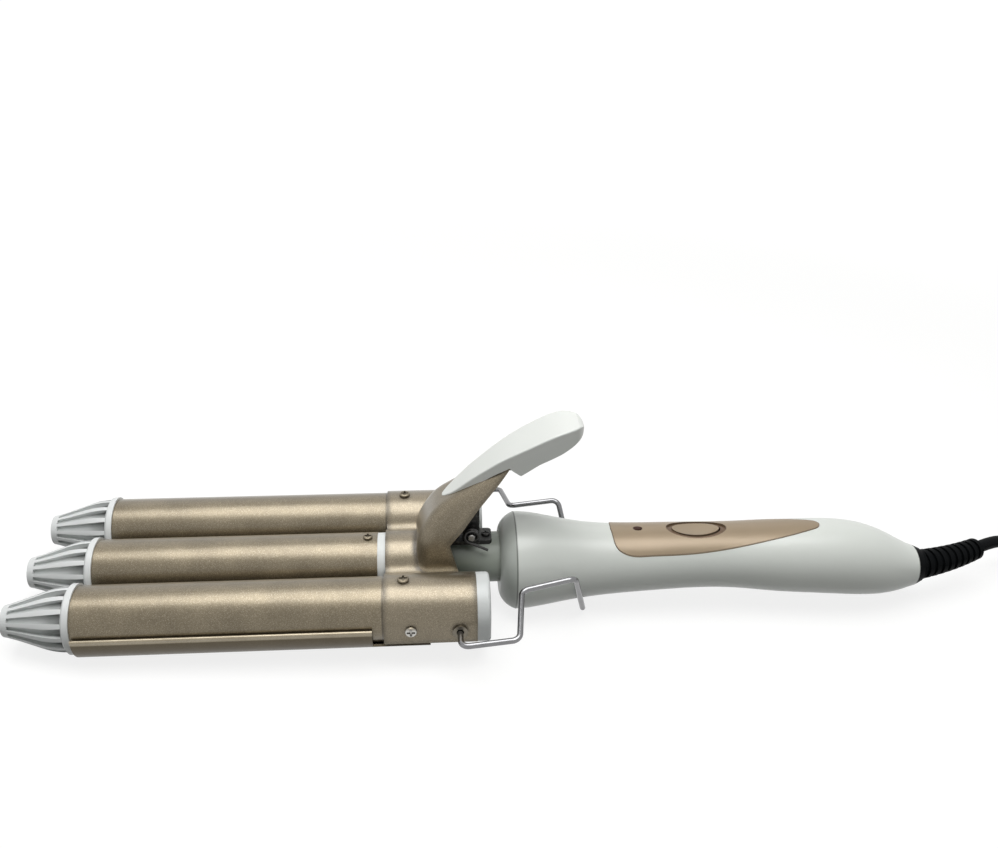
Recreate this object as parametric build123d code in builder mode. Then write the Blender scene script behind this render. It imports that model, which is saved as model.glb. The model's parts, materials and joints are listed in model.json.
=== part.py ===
from build123d import *
import os
from math import atan2, cos, degrees, pi, radians, sin, sqrt, tan

# Triple-barrel hair waver, millimetres.
# The tool has its own axes: x runs along the barrels from the noses towards the cord, y across
# them, z up, with its origin in the middle barrel's axis. Places along x are stations counted
# so that the outer barrels end at barrel_rear: longer barrels reach further forward.
# The tool lies on a table (world z = 0), nose down, on its lower shells and on the handle's rim.
# The world origin is on the table under the middle of its length, at station tool_middle.

# ---------------------------------------------------------------- driving sizes
# Barrels and noses
barrel_radius = 12.5
barrel_wall = 1.0
barrel_pitch = 30.0
outer_length = 149.8
barrel_rear = 149.8
tool_middle = 174.675
collar_show = 3.2
nose_length = 27.0
nose_ring_length = 2.2
nose_ring_radius = 13.3
nose_tip_radius = 6.0
nose_wall = 1.6
nose_spigot_length = 7.0
nose_ribs = 14
rib_width = 1.25
rib_depth = 3.0

# Heaters inside the barrels
heater_inset = 12.0
heater_end = 92.0
heater_width = 14.0
heater_thickness = 3.2
spreader_wall = 1.4
heater_gap = 0.15

# Lower shells, fixed under the outer barrels
shell_sheet = 0.9
shell_gap = 0.9
shell_inset = 0.4
trough_gap = 4.3
tail_end = 132.0
tail_half_angle = 50.0
saddle_lead = 2.0
saddle_length = 10.5
saddle_gap = 0.15
bead_radius = 0.75

# Bracket over the outer barrels, with the lever's horn pressed up from it
bracket_sheet = 0.7
bracket_gap = 0.1
bracket_length = 35.3
valley_radius = 4.5
skirt_bottom = -6.4
middle_arch_end = 145.0
horn_start = 127.0
horn_taper = 0.15
horn_edge_radius = 5.5
top_screw_x = 122.0
side_screw_x = 124.7
side_screw_z = -0.4
eyelet_x = 143.2
eyelet_z = -1.2

# Neck and collar
collar_radius = 12.2
collar_end = 123.6
neck_radius = 10.3
neck_rise = 1.5
neck_bore_radius = 7.6
neck_end = 166.0
spigot_length = 16.3

# Hinge of the lever
hinge_x = 149.0
hinge_z = 17.3
pin_radius = 1.5
pin_play = 0.1
lug_half_width = 3.0
ear_gap = 0.4
ear_sheet = 1.0
ear_radius = 3.4
spring_wire_radius = 0.55
spring_coil_radius = 2.6
spring_turns = 2.18
spring_up_leg = 13.0
spring_back_leg = 8.5

# Thumb pad
pad_half_width = 9.8
pad_screw_grip = 2.3
pad_edge = 0.6
pad_gap = 0.05

# Wire stand
stand_wire_radius = 1.15
stand_half_width = 52.2
stand_bend = 3.2
eyelet_play = 0.3

# Handle
handle_wall = 2.0
cap_front_x = 160.7
handle_front_x = 167.0
rim_radius = 20.05
rim_z = -0.5
ring_start_x = 339.4
ring_end_x = 342.4
ring_end_radius = 7.3
panel_proud = 0.35
panel_depth = 0.9
cover_start = 175.0
cover_end = 320.0
cover_half_width = 7.2
seam_gap = 0.1

# Button, lamp and electronics
button_x = 242.1
button_length = 20.0
button_width = 8.6
bezel_length = 25.0
bezel_width = 11.5
button_gap = 0.35
button_travel = 1.5
led_x = 217.5
led_length = 3.2
led_width = 2.2
lens_gap = 0.25
board_start = 206.0
board_end = 290.0
board_half_width = 7.6
board_z = 1.0
board_thickness = 1.6

# Mains cord
cord_diameter = 5.4
relief_length = 34.0
relief_root_radius = 6.3
relief_end_radius = 4.7
relief_ribs = 9
relief_start_heading = 14.0
relief_end_heading = 28.0
relief_drop = 1.5
coil_mean_radius = 32.4
coil_columns = 5
coil_layers = 2
coil_lift = 0.8
coil_stub = 28.0
exit_heading = -35.0

# Plug with two round pins
plug_width = 35.3
plug_thickness = 13.7
plug_body_length = 35.0
plug_relief_length = 20.0
plug_pin_radius = 2.0
plug_pin_length = 19.0
plug_pin_spacing = 19.0
plug_pin_root = 9.0
plug_root_radius = 1.7

# ---------------------------------------------------------------- sizes that follow
sides = (("near", -1), ("far", 1))
barrel_front = barrel_rear - outer_length
bracket_start = barrel_rear - bracket_length
collar_start = bracket_start - collar_show
spigot_start = collar_start - spigot_length
heater_start = barrel_front + heater_inset
shell_start = barrel_front + shell_inset
trough_end = bracket_start - trough_gap
saddle_start = bracket_start - saddle_lead
saddle_end = saddle_start + saddle_length
shell_inner = barrel_radius + shell_gap
shell_outer = shell_inner + shell_sheet
arch_inner = barrel_radius + bracket_gap
arch_outer = arch_inner + bracket_sheet
skirt_y = barrel_pitch + arch_outer
rim_bottom = rim_radius - rim_z
lie_angle = degrees(atan2(rim_bottom - shell_outer, handle_front_x - shell_start))
lie_height = shell_outer * cos(radians(lie_angle)) - shell_start * sin(radians(lie_angle))


tool = Plane(
    origin=(-tool_middle, 0, lie_height),
    x_dir=(cos(radians(lie_angle)), 0, sin(radians(lie_angle))),
    z_dir=(-sin(radians(lie_angle)), 0, cos(radians(lie_angle))),
)


def at(x, y, z):
    """World point of a point given on the tool's axes."""
    return tool.from_local_coords(Vector(x, y, z))


def across(x, y=0.0, z=0.0):
    """Plane square to the barrels at station x. Its axes are y and z, and it faces the cord."""
    return Plane(origin=at(x, y, z), x_dir=tool.y_dir, z_dir=tool.x_dir)


def upright(y):
    """Plane along the tool at offset y. Its axes are x and z, and it faces -y."""
    return Plane(origin=at(0, y, 0), x_dir=tool.x_dir, z_dir=-tool.y_dir)


def level(z):
    """Plane parallel to the barrels at height z. Its axes are x and y, and it faces up."""
    return Plane(origin=at(0, 0, z), x_dir=tool.x_dir, z_dir=tool.z_dir)


def seat(x, y, z, facing):
    """Plane at a point of the tool, facing a given way, for what is screwed or set in there."""
    return Plane(origin=at(x, y, z), x_dir=tool.x_dir, z_dir=facing)


def save(piece, label):
    """Names a finished piece and writes its file."""
    piece.part.label = label
    export_step(piece.part, f"parts/{label}.step")


def tube(plane, outer, inner, length):
    """Plain round tube that starts on a plane."""
    with BuildPart() as piece:
        with BuildSketch(plane):
            Circle(outer)
            if inner > 0:
                Circle(inner, mode=Mode.SUBTRACT)
        extrude(amount=length)
    return piece


os.makedirs("parts", exist_ok=True)

# ---------------------------------------------------------------- barrels
barrel_inner = barrel_radius - barrel_wall
screw_shank = 1.3
screw_length = 4.0
eyelet_tube_radius = 2.1
eyelet_bore = stand_wire_radius + eyelet_play
hole_gap = 0.1

barrel_screw_x = collar_start - 3.9
saddle_screw_x = saddle_start + 5.3

with BuildPart() as middle_barrel:
    add(tube(across(barrel_front), barrel_radius, barrel_inner, collar_start - barrel_front).part)
    with BuildSketch(level(0)):
        with Locations((barrel_screw_x, 0)):
            Circle(screw_shank + hole_gap)
    extrude(amount=barrel_radius + 1, mode=Mode.SUBTRACT)
save(middle_barrel, "middle_barrel")

for name, side in sides:
    with BuildPart() as outer_barrel:
        front = across(barrel_front, side * barrel_pitch)
        add(tube(front, barrel_radius, barrel_inner, outer_length).part)
        with BuildSketch(level(0)):
            with Locations((top_screw_x, side * barrel_pitch)):
                Circle(screw_shank + hole_gap)
        extrude(amount=barrel_radius + 1, mode=Mode.SUBTRACT)
        with BuildSketch(upright(side * barrel_pitch)):
            with Locations((side_screw_x, side_screw_z)):
                Circle(screw_shank + hole_gap)
            with Locations((eyelet_x, eyelet_z)):
                Circle(eyelet_tube_radius + hole_gap)
        extrude(amount=-side * (barrel_radius + 1), mode=Mode.SUBTRACT)
    save(outer_barrel, f"{name}_barrel")

# ---------------------------------------------------------------- noses
# Outline of the white cage: radius against distance in front of the tube. Its ribs stand on an
# inner cone, and are deepest at the ring.
nose_outline = ((3.0, 12.3), (6.5, 12.1), (10.0, 11.4), (14.0, 10.1), (18.0, 8.7), (22.0, 7.35))
cone_outline = [(x, r - rib_depth * (1 - 0.6 * x / nose_length)) for x, r in nose_outline]
cone_tip_radius = nose_tip_radius - 0.4 * rib_depth
cone_wall = 0.9
slot_front = nose_length - 2.6
slot_back = nose_ring_length + 0.8


def slot_width(radius):
    """Width of the opening between two ribs where the cage has this radius."""
    return 2 * pi * radius / nose_ribs - rib_width


nose_names = (("middle", 0), ("near", -1), ("far", 1))
for name, side in nose_names:
    axis_y = side * barrel_pitch
    with BuildPart() as nose:
        with BuildSketch(seat(barrel_front, axis_y, 0, -tool.y_dir)):
            with BuildLine():
                Polyline((nose_spigot_length, barrel_inner - 0.1), (0, barrel_inner - 0.1),
                         (0, nose_ring_radius), (-nose_ring_length, nose_ring_radius),
                         (-nose_outline[0][0], nose_outline[0][1]))
                Spline(*[(-x, r) for x, r in nose_outline], (-nose_length, nose_tip_radius))
                Polyline((-nose_length, nose_tip_radius), (-nose_length, 0),
                         (-nose_length + nose_wall, 0),
                         (-nose_length + nose_wall, cone_tip_radius - cone_wall))
                Spline((-nose_length + nose_wall, cone_tip_radius - cone_wall),
                       *[(-x, r - cone_wall) for x, r in reversed(cone_outline)])
                Polyline((-cone_outline[0][0], cone_outline[0][1] - cone_wall),
                         (0, barrel_inner - 1.5), (nose_spigot_length, barrel_inner - 1.5),
                         (nose_spigot_length, barrel_inner - 0.1))
            make_face()
        revolve(axis=Axis(at(0, axis_y, 0), tool.x_dir))
    with BuildPart() as slots:
        for i in range(nose_ribs):
            turn = radians(360 / nose_ribs * (i + 0.5))
            out = Vector(0, cos(turn), sin(turn))
            direction = at(*out) - at(0, 0, 0)
            slot_plane = Plane(origin=at(barrel_front, axis_y, 0), x_dir=-tool.x_dir, z_dir=direction)
            with BuildSketch(slot_plane):
                wide = slot_width(nose_outline[1][1]) / 2
                narrow = slot_width(nose_tip_radius + 0.6) / 2
                with BuildLine():
                    Polyline((slot_back, wide - 0.2), (slot_front, narrow), (slot_front, -narrow),
                             (slot_back, -wide + 0.2), close=True)
                make_face()
            extrude(amount=nose_ring_radius + 2)
        with BuildSketch(seat(barrel_front, axis_y, 0, -tool.y_dir)):
            with BuildLine():
                Spline(*[(-x, r) for x, r in cone_outline], (-nose_length, cone_tip_radius))
                Polyline((-nose_length, cone_tip_radius), (-nose_length, 0), (0, 0),
                         (0, cone_outline[0][1]), (-cone_outline[0][0], cone_outline[0][1]))
            make_face()
        revolve(axis=Axis(at(0, axis_y, 0), tool.x_dir), mode=Mode.SUBTRACT)
    with BuildPart() as caged_nose:
        add(nose.part)
        add(slots.part, mode=Mode.SUBTRACT)
    save(caged_nose, f"{name}_nose")

# ---------------------------------------------------------------- heaters
for name, side in nose_names:
    axis_y = side * barrel_pitch
    with BuildPart() as heater:
        with BuildSketch(across(heater_start, axis_y)):
            RectangleRounded(heater_width, heater_thickness, 0.8)
        extrude(amount=heater_end - heater_start)
    save(heater, f"{name}_heater")

    half_flat = heater_thickness / 2 + heater_gap
    with BuildPart() as spreaders:
        with BuildSketch(across(heater_start + 1, axis_y)):
            Circle(barrel_inner - heater_gap)
            Circle(barrel_inner - heater_gap - spreader_wall, mode=Mode.SUBTRACT)
            with Locations((0, half_flat + spreader_wall / 2), (0, -half_flat - spreader_wall / 2)):
                Rectangle(2 * barrel_inner - 2 * heater_gap - spreader_wall, spreader_wall)
            Rectangle(3 * barrel_radius, 2 * half_flat, mode=Mode.SUBTRACT)
        extrude(amount=heater_end - heater_start - 2)
    save(spreaders, f"{name}_heat_spreaders")

# ---------------------------------------------------------------- neck with its collar and spigot
with BuildPart() as neck:
    with BuildSketch(across(spigot_start)):
        Circle(barrel_inner - 0.1)
    extrude(amount=collar_start - spigot_start + 0.5)
    with BuildSketch(across(collar_start)):
        Circle(collar_radius)
    extrude(amount=collar_end - collar_start)
    with BuildSketch(across(collar_end - 2, 0, neck_rise)):
        Circle(neck_radius)
    extrude(amount=neck_end - collar_end + 2)
    with BuildSketch(across(neck_end - 3.5, 0, neck_rise)):
        Circle(neck_radius + 1.6)
    extrude(amount=2.5)
    with BuildSketch(across(spigot_start - 1, 0, neck_rise / 2)):
        Circle(neck_bore_radius)
    extrude(amount=neck_end - spigot_start + 2, mode=Mode.SUBTRACT)
    with BuildSketch(level(0)):
        with Locations((barrel_screw_x, 0)):
            Circle(screw_shank)
    extrude(amount=barrel_radius, mode=Mode.SUBTRACT)
    with BuildSketch(level(0)):
        with Locations((saddle_screw_x, 0)):
            Circle(screw_shank)
    extrude(amount=-barrel_radius, mode=Mode.SUBTRACT)
    with BuildSketch(level(neck_bore_radius)):
        with Locations((hinge_x - 6.2, 0), (hinge_x + 6.2, 0)):
            Circle(1.0)
    extrude(amount=neck_radius, mode=Mode.SUBTRACT)
save(neck, "neck")


seat_gap = 0.02


def pan_screw(under_head, head_radius, head_height, shank, length):
    """Pan-head screw whose head stands on the plane and whose shank goes down through it."""
    with BuildPart() as screw:
        with BuildSketch(under_head):
            Circle(head_radius)
        extrude(amount=head_height)
        rims = screw.edges().filter_by(GeomType.CIRCLE)
        fillet(rims.sort_by(Axis(under_head.origin, under_head.z_dir))[-1], head_height * 0.55)
        with BuildSketch(under_head):
            Circle(shank)
        extrude(amount=-length)
        with BuildSketch(under_head.offset(head_height)):
            Rectangle(head_radius * 1.35, 0.6)
            Rectangle(0.6, head_radius * 1.35)
        extrude(amount=-head_height * 0.6, mode=Mode.SUBTRACT)
    return screw.part


with BuildPart() as barrel_screw:
    barrel_screw_seat = seat(barrel_screw_x, 0, barrel_radius + seat_gap, tool.z_dir)
    add(pan_screw(barrel_screw_seat, 1.9, 1.0, screw_shank - 0.1, screw_length))
save(barrel_screw, "barrel_screw")

# ---------------------------------------------------------------- lower shells on a common saddle
shell_mid = shell_inner + shell_sheet / 2


def shell_arc(side, start_angle, arc_size):
    """Closed outline of a piece of one trough, measured from +y and turning towards +z."""
    with BuildSketch(Plane.XY) as outline:
        with BuildLine():
            outer = CenterArc((side * barrel_pitch, 0), shell_outer, start_angle, arc_size)
            inner = CenterArc((side * barrel_pitch, 0), shell_inner, start_angle, arc_size)
            Line(outer @ 0, inner @ 0)
            Line(outer @ 1, inner @ 1)
        make_face()
    return outline.sketch


saddle_inner = collar_radius + saddle_gap
saddle_outer = saddle_inner + shell_sheet
tail_angle = radians(90 - tail_half_angle)
saddle_angle = radians(40)
with BuildPart() as lower_shells:
    for name, side in sides:
        bead_y = side * (barrel_pitch + shell_mid)
        with BuildSketch(across(shell_start)):
            add(shell_arc(side, 180, 180))
            with Locations((bead_y, 0)):
                Circle(bead_radius)
            with Locations((bead_y, 0)):
                Rectangle(shell_sheet, bead_radius)
        extrude(amount=trough_end - shell_start)
        with BuildSketch(across(trough_end)):
            add(shell_arc(side, 270 - tail_half_angle, 2 * tail_half_angle))
        extrude(amount=tail_end - trough_end)
    seat_edge = degrees(saddle_angle)
    tail_y = shell_outer * cos(tail_angle)
    tail_top_y = shell_inner * cos(tail_angle)
    with BuildSketch(across(saddle_start)):
        with BuildLine():
            seat_out = CenterArc((0, 0), saddle_outer, 180 + seat_edge, 180 - 2 * seat_edge)
            seat_in = CenterArc((0, 0), saddle_inner, 180 + seat_edge, 180 - 2 * seat_edge)
            Line(seat_out @ 0, seat_in @ 0)
            Line(seat_out @ 1, seat_in @ 1)
        make_face()
        for name, side in sides:
            tail_edge = (side * (barrel_pitch - tail_y), -shell_outer * sin(tail_angle))
            tail_top = (side * (barrel_pitch - tail_top_y), -shell_inner * sin(tail_angle))
            web_top = (side * saddle_inner * cos(saddle_angle), -saddle_inner * sin(saddle_angle))
            web_edge = (side * saddle_outer * cos(saddle_angle), -saddle_outer * sin(saddle_angle))
            with BuildLine():
                Polyline(tail_edge, tail_top, web_top, web_edge, close=True)
            make_face()
    extrude(amount=saddle_end - saddle_start)
    with BuildSketch(level(0)):
        with Locations((saddle_screw_x, 0)):
            Circle(screw_shank + hole_gap)
    extrude(amount=-shell_outer - 1, mode=Mode.SUBTRACT)
save(lower_shells, "lower_shells")

with BuildPart() as saddle_screw:
    saddle_screw_seat = seat(saddle_screw_x, 0, -saddle_outer - seat_gap, -tool.z_dir)
    add(pan_screw(saddle_screw_seat, 2.1, 1.1, screw_shank - 0.1, screw_length))
save(saddle_screw, "saddle_screw")

# ---------------------------------------------------------------- bracket with the lever's horn
def bridge_outline(inset):
    """Region under the bracket's sheet, from skirt to skirt, inset from its outer face."""
    arch = arch_outer - inset
    valley = valley_radius + inset
    valley_z = sqrt((arch + valley) ** 2 - (barrel_pitch / 2) ** 2)
    lean = degrees(atan2(valley_z, barrel_pitch / 2))
    edge = barrel_pitch + arch
    low = skirt_bottom - (1 if inset else 0)
    with BuildSketch(Plane.XY) as region:
        with BuildLine():
            Polyline((-edge, 0), (-edge, low), (edge, low), (edge, 0))
            CenterArc((barrel_pitch, 0), arch, 0, 180 - lean)
            CenterArc((barrel_pitch / 2, valley_z), valley, 180 + lean, 180 - 2 * lean)
            CenterArc((0, 0), arch, lean, 180 - 2 * lean)
            CenterArc((-barrel_pitch / 2, valley_z), valley, 180 + lean, 180 - 2 * lean)
            CenterArc((-barrel_pitch, 0), arch, lean, 180 - lean)
        make_face()
    return region.sketch


# Horn seen from the side: a steep front that bends over into a straight ridge up to the tip,
# and the lower edge of its side walls from the tip back to the middle arch.
horn_foot_z = 4.2
horn_front = ((horn_start, 12.5), (horn_start + 3.2, 23.2), (horn_start + 7.6, 29.8), (142.6, 35.8))
horn_tip = (164.5, 50.6)
horn_tip_corner = (165.8, 47.6)
horn_lower_edge = ((163.6, 47.3), (159.0, 41.0), (151.3, 31.0), (145.1, 22.0), (140.3, 16.2), (143.0, 6.7),
                   (144.2, horn_foot_z - 1))
ridge_slope = (horn_tip[1] - horn_front[-1][1]) / (horn_tip[0] - horn_front[-1][0])
ridge_lean = sqrt(1 + ridge_slope ** 2)
horn_widest_z = arch_outer


def horn_block(inset):
    """Solid horn, deep enough for its rounding: side view carried across and cut to its taper."""
    half_low = arch_outer - inset + horn_taper * (horn_widest_z - horn_foot_z)
    top_z = horn_tip[1] + 4
    half_top = arch_outer - inset - horn_taper * (top_z - horn_widest_z)
    drop = inset * 0.52
    front = [(x + inset, z - drop) for x, z in horn_front]
    tip = (horn_tip[0] + (5 if inset else 0), horn_tip[1] - drop + (5 * ridge_slope if inset else 0))
    with BuildPart() as block:
        with BuildSketch(upright(barrel_pitch / 2)):
            with BuildLine():
                Line((front[0][0], horn_foot_z), front[0])
                Spline(*front, tangents=[(0, 1), (1, ridge_slope)])
                Polyline(front[-1], tip, (tip[0] + 5, horn_foot_z), (front[0][0], horn_foot_z))
            make_face()
        extrude(amount=barrel_pitch)
        with BuildSketch(across(horn_start - 1)):
            with BuildLine():
                Polyline((-half_low, horn_foot_z), (half_low, horn_foot_z), (half_top, top_z),
                         (-half_top, top_z), close=True)
            make_face()
        extrude(amount=60, mode=Mode.INTERSECT)
        ridge = []
        for edge in block.edges():
            middle = tool.to_local_coords(edge @ 0.5)
            runs_along = abs(((edge @ 1) - (edge @ 0)).dot(tool.y_dir)) < 0.4 * edge.length
            over_front = middle.X < front[0][0] + 0.05 and middle.Z > horn_foot_z + 0.5
            on_ridge = middle.X < tip[0] - 0.3 and middle.Z > front[1][1] + (middle.X - front[1][0]) * 0.72
            if runs_along and (over_front or on_ridge):
                ridge.append(edge)
        fillet(ridge, horn_edge_radius - inset)
    return block.part


def under_ridge(x, drop):
    """Height under the straight part of the horn's ridge, inside its sheet."""
    outside = horn_tip[1] + ridge_slope * (x - horn_tip[0])
    return outside - (bracket_sheet + drop) * ridge_lean - 0.15


pad_screw_x = 156.5
pad_screw_radius = 1.0
pad_screw_seat = Plane(
    origin=at(pad_screw_x, 0, under_ridge(pad_screw_x, 0)),
    x_dir=tool.y_dir,
    z_dir=(at(ridge_slope, 0, -1) - at(0, 0, 0)).normalized(),
)

with BuildPart() as horn:
    add(horn_block(0))
    with BuildSketch(upright(barrel_pitch / 2)):
        with BuildLine():
            Polyline(horn_tip, horn_tip_corner, *horn_lower_edge,
                     (180, horn_foot_z - 1), (180, 52), horn_tip)
        make_face()
    extrude(amount=barrel_pitch, mode=Mode.SUBTRACT)

with BuildPart() as bracket:
    with BuildSketch(across(bracket_start)):
        add(bridge_outline(0))
    extrude(amount=bracket_length)
    with BuildSketch(across(bracket_start - 1)):
        add(bridge_outline(bracket_sheet))
    extrude(amount=bracket_length + 2, mode=Mode.SUBTRACT)
    # The middle arch stops short, along the horn's rear edge.
    with BuildSketch(upright(barrel_pitch / 2)):
        with BuildLine():
            Polyline((140.3, 16.2), (143.0, 6.7), (middle_arch_end, 0), (160, 0), (160, 17), close=True)
        make_face()
    extrude(amount=barrel_pitch, mode=Mode.SUBTRACT)
    add(horn.part)
    add(horn_block(bracket_sheet), mode=Mode.SUBTRACT)
    with BuildSketch(across(bracket_start - 1)):
        Circle(arch_inner)
    extrude(amount=bracket_length + 2, mode=Mode.SUBTRACT)
    with BuildSketch(pad_screw_seat):
        Circle(pad_screw_radius + hole_gap)
    extrude(amount=-4, mode=Mode.SUBTRACT)
    with BuildSketch(level(0)):
        with Locations((top_screw_x, barrel_pitch), (top_screw_x, -barrel_pitch)):
            Circle(screw_shank + hole_gap)
    extrude(amount=arch_outer + 1, mode=Mode.SUBTRACT)
    for name, side in sides:
        with BuildSketch(upright(side * barrel_pitch)):
            with Locations((side_screw_x, side_screw_z)):
                Circle(screw_shank + hole_gap)
            with Locations((eyelet_x, eyelet_z)):
                Circle(eyelet_tube_radius + hole_gap)
        extrude(amount=-side * (arch_outer + 1), mode=Mode.SUBTRACT)
save(bracket, "bracket")

with BuildPart() as bracket_screws:
    for name, side in sides:
        top_seat = seat(top_screw_x, side * barrel_pitch, arch_outer + seat_gap, tool.z_dir)
        add(pan_screw(top_seat, 2.2, 1.1, screw_shank - 0.1, screw_length))
        side_seat = seat(side_screw_x, side * (skirt_y + seat_gap), side_screw_z, tool.y_dir * side)
        add(pan_screw(side_seat, 2.2, 1.1, screw_shank - 0.1, screw_length))
save(bracket_screws, "bracket_screws")

with BuildPart() as eyelets:
    for name, side in sides:
        rim = seat(eyelet_x, side * (skirt_y + seat_gap), eyelet_z, tool.y_dir * side)
        with BuildSketch(rim):
            Circle(2.9)
        extrude(amount=0.8)
        with BuildSketch(rim):
            Circle(eyelet_tube_radius)
        extrude(amount=-2.2)
        with BuildSketch(rim.offset(2)):
            Circle(eyelet_bore)
        extrude(amount=-6, mode=Mode.SUBTRACT)
save(eyelets, "eyelets")

# ---------------------------------------------------------------- end caps of the outer barrels
end_cap_length = 5.2
end_cap_radius = arch_outer - 0.2
for name, side in sides:
    with BuildPart() as end_cap:
        with BuildSketch(across(barrel_rear, side * barrel_pitch)):
            with BuildLine():
                CenterArc((0, 0), end_cap_radius, 0, 180)
                Polyline((-end_cap_radius, 0), (-end_cap_radius, skirt_bottom), (-5, -end_cap_radius),
                         (5, -end_cap_radius), (end_cap_radius, skirt_bottom), (end_cap_radius, 0))
            make_face()
        extrude(amount=end_cap_length)
        fillet(end_cap.faces().sort_by(Axis(at(0, 0, 0), tool.x_dir))[-1].edges(), 1.3)
        with BuildSketch(across(barrel_rear, side * barrel_pitch)):
            Circle(barrel_inner - 0.1)
        extrude(amount=-3.6)
        with BuildSketch(across(barrel_rear + 1.6, side * barrel_pitch)):
            Circle(barrel_inner - 1.7)
        extrude(amount=-6, mode=Mode.SUBTRACT)
        with BuildSketch(across(barrel_rear, side * (barrel_pitch - 4))):
            Circle(2.2)
        extrude(amount=end_cap_length + 1, mode=Mode.SUBTRACT)
    save(end_cap, f"{name}_end_cap")

# ---------------------------------------------------------------- hinge of the lever
ear_inner = lug_half_width + ear_gap
ear_outer = ear_inner + ear_sheet
yoke_front_x = hinge_x - 5.5
yoke_rear_x = hinge_x + ear_radius


with BuildPart() as hinge_yoke:
    for side in (-1, 1):
        with BuildSketch(upright(side * ear_inner)):
            with BuildLine():
                Polyline((yoke_front_x, under_ridge(yoke_front_x, 0)),
                         (yoke_rear_x, under_ridge(yoke_rear_x, 0)),
                         (yoke_rear_x, hinge_z), (hinge_x - ear_radius, hinge_z),
                         (yoke_front_x, under_ridge(yoke_front_x, 6)), close=True)
            make_face()
            with Locations((hinge_x, hinge_z)):
                Circle(ear_radius)
        extrude(amount=-side * ear_sheet)
    with BuildSketch(upright(ear_outer)):
        with BuildLine():
            Polyline((yoke_front_x, under_ridge(yoke_front_x, 0)),
                     (yoke_rear_x, under_ridge(yoke_rear_x, 0)),
                     (yoke_rear_x, under_ridge(yoke_rear_x, ear_sheet)),
                     (yoke_front_x, under_ridge(yoke_front_x, ear_sheet)), close=True)
        make_face()
    extrude(amount=2 * ear_outer)
    with BuildSketch(upright(ear_outer + 1)):
        with Locations((hinge_x, hinge_z)):
            Circle(pin_radius + pin_play)
    extrude(amount=2 * ear_outer + 2, mode=Mode.SUBTRACT)
save(hinge_yoke, "hinge_yoke")

foot_top = neck_rise + neck_radius + 0.9
foot_half_length = 8.5
with BuildPart() as hinge_post:
    with BuildSketch(level(foot_top)):
        with Locations((hinge_x, 0)):
            RectangleRounded(2 * foot_half_length, 9.0, 1.5)
    extrude(amount=-3.0)
    with BuildSketch(upright(lug_half_width)):
        with Locations((hinge_x, hinge_z)):
            Circle(ear_radius - 0.2)
        with Locations((hinge_x, (hinge_z + foot_top) / 2 - 0.5)):
            Rectangle(2 * ear_radius - 0.4, hinge_z - foot_top + 1)
    extrude(amount=2 * lug_half_width)
    with BuildSketch(across(hinge_x - foot_half_length - 1, 0, neck_rise)):
        Circle(neck_radius + 0.03)
    extrude(amount=2 * foot_half_length + 2, mode=Mode.SUBTRACT)
    with BuildSketch(upright(lug_half_width + 1)):
        with Locations((hinge_x, hinge_z)):
            Circle(pin_radius)
    extrude(amount=2 * lug_half_width + 2, mode=Mode.SUBTRACT)
    with BuildSketch(level(foot_top + 1)):
        with Locations((hinge_x - 6.2, 0), (hinge_x + 6.2, 0)):
            Circle(1.2)
    extrude(amount=-5, mode=Mode.SUBTRACT)
save(hinge_post, "hinge_post")

with BuildPart() as post_screws:
    for x in (hinge_x - 6.2, hinge_x + 6.2):
        add(pan_screw(seat(x, 0, foot_top + seat_gap, tool.z_dir), 1.8, 0.8, 0.95, 4.0))
save(post_screws, "hinge_post_screws")

pin_near_y = -9.6
pin_far_y = 6.0
with BuildPart() as hinge_pin:
    with BuildSketch(upright(pin_far_y)):
        with Locations((hinge_x, hinge_z)):
            Circle(pin_radius)
    extrude(amount=pin_far_y - pin_near_y)
    chamfer(hinge_pin.edges().filter_by(GeomType.CIRCLE), 0.3)
save(hinge_pin, "hinge_pin")

# Torsion spring on the pin's near end: one leg runs up inside the horn, one back along the neck.
spring_pitch = 2 * spring_wire_radius + 0.06
spring_y = -ear_outer - 1.2 - spring_wire_radius
spring_axis = Plane(origin=at(hinge_x, spring_y, hinge_z), x_dir=-tool.x_dir, z_dir=-tool.y_dir)
with BuildPart() as spring_blank:
    with BuildLine() as spring_line:
        coils = Helix(pitch=spring_pitch, height=spring_turns * spring_pitch, radius=spring_coil_radius)
        Line((coils @ 0) - (coils % 0) * spring_up_leg, coils @ 0)
        Line(coils @ 1, (coils @ 1) + (coils % 1) * spring_back_leg)
    with BuildSketch(Plane(origin=spring_line.line @ 0, z_dir=spring_line.line % 0)):
        Circle(spring_wire_radius)
    sweep()
with BuildPart() as lever_spring:
    with Locations(spring_axis.location):
        add(spring_blank.part)
save(lever_spring, "lever_spring")

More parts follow.
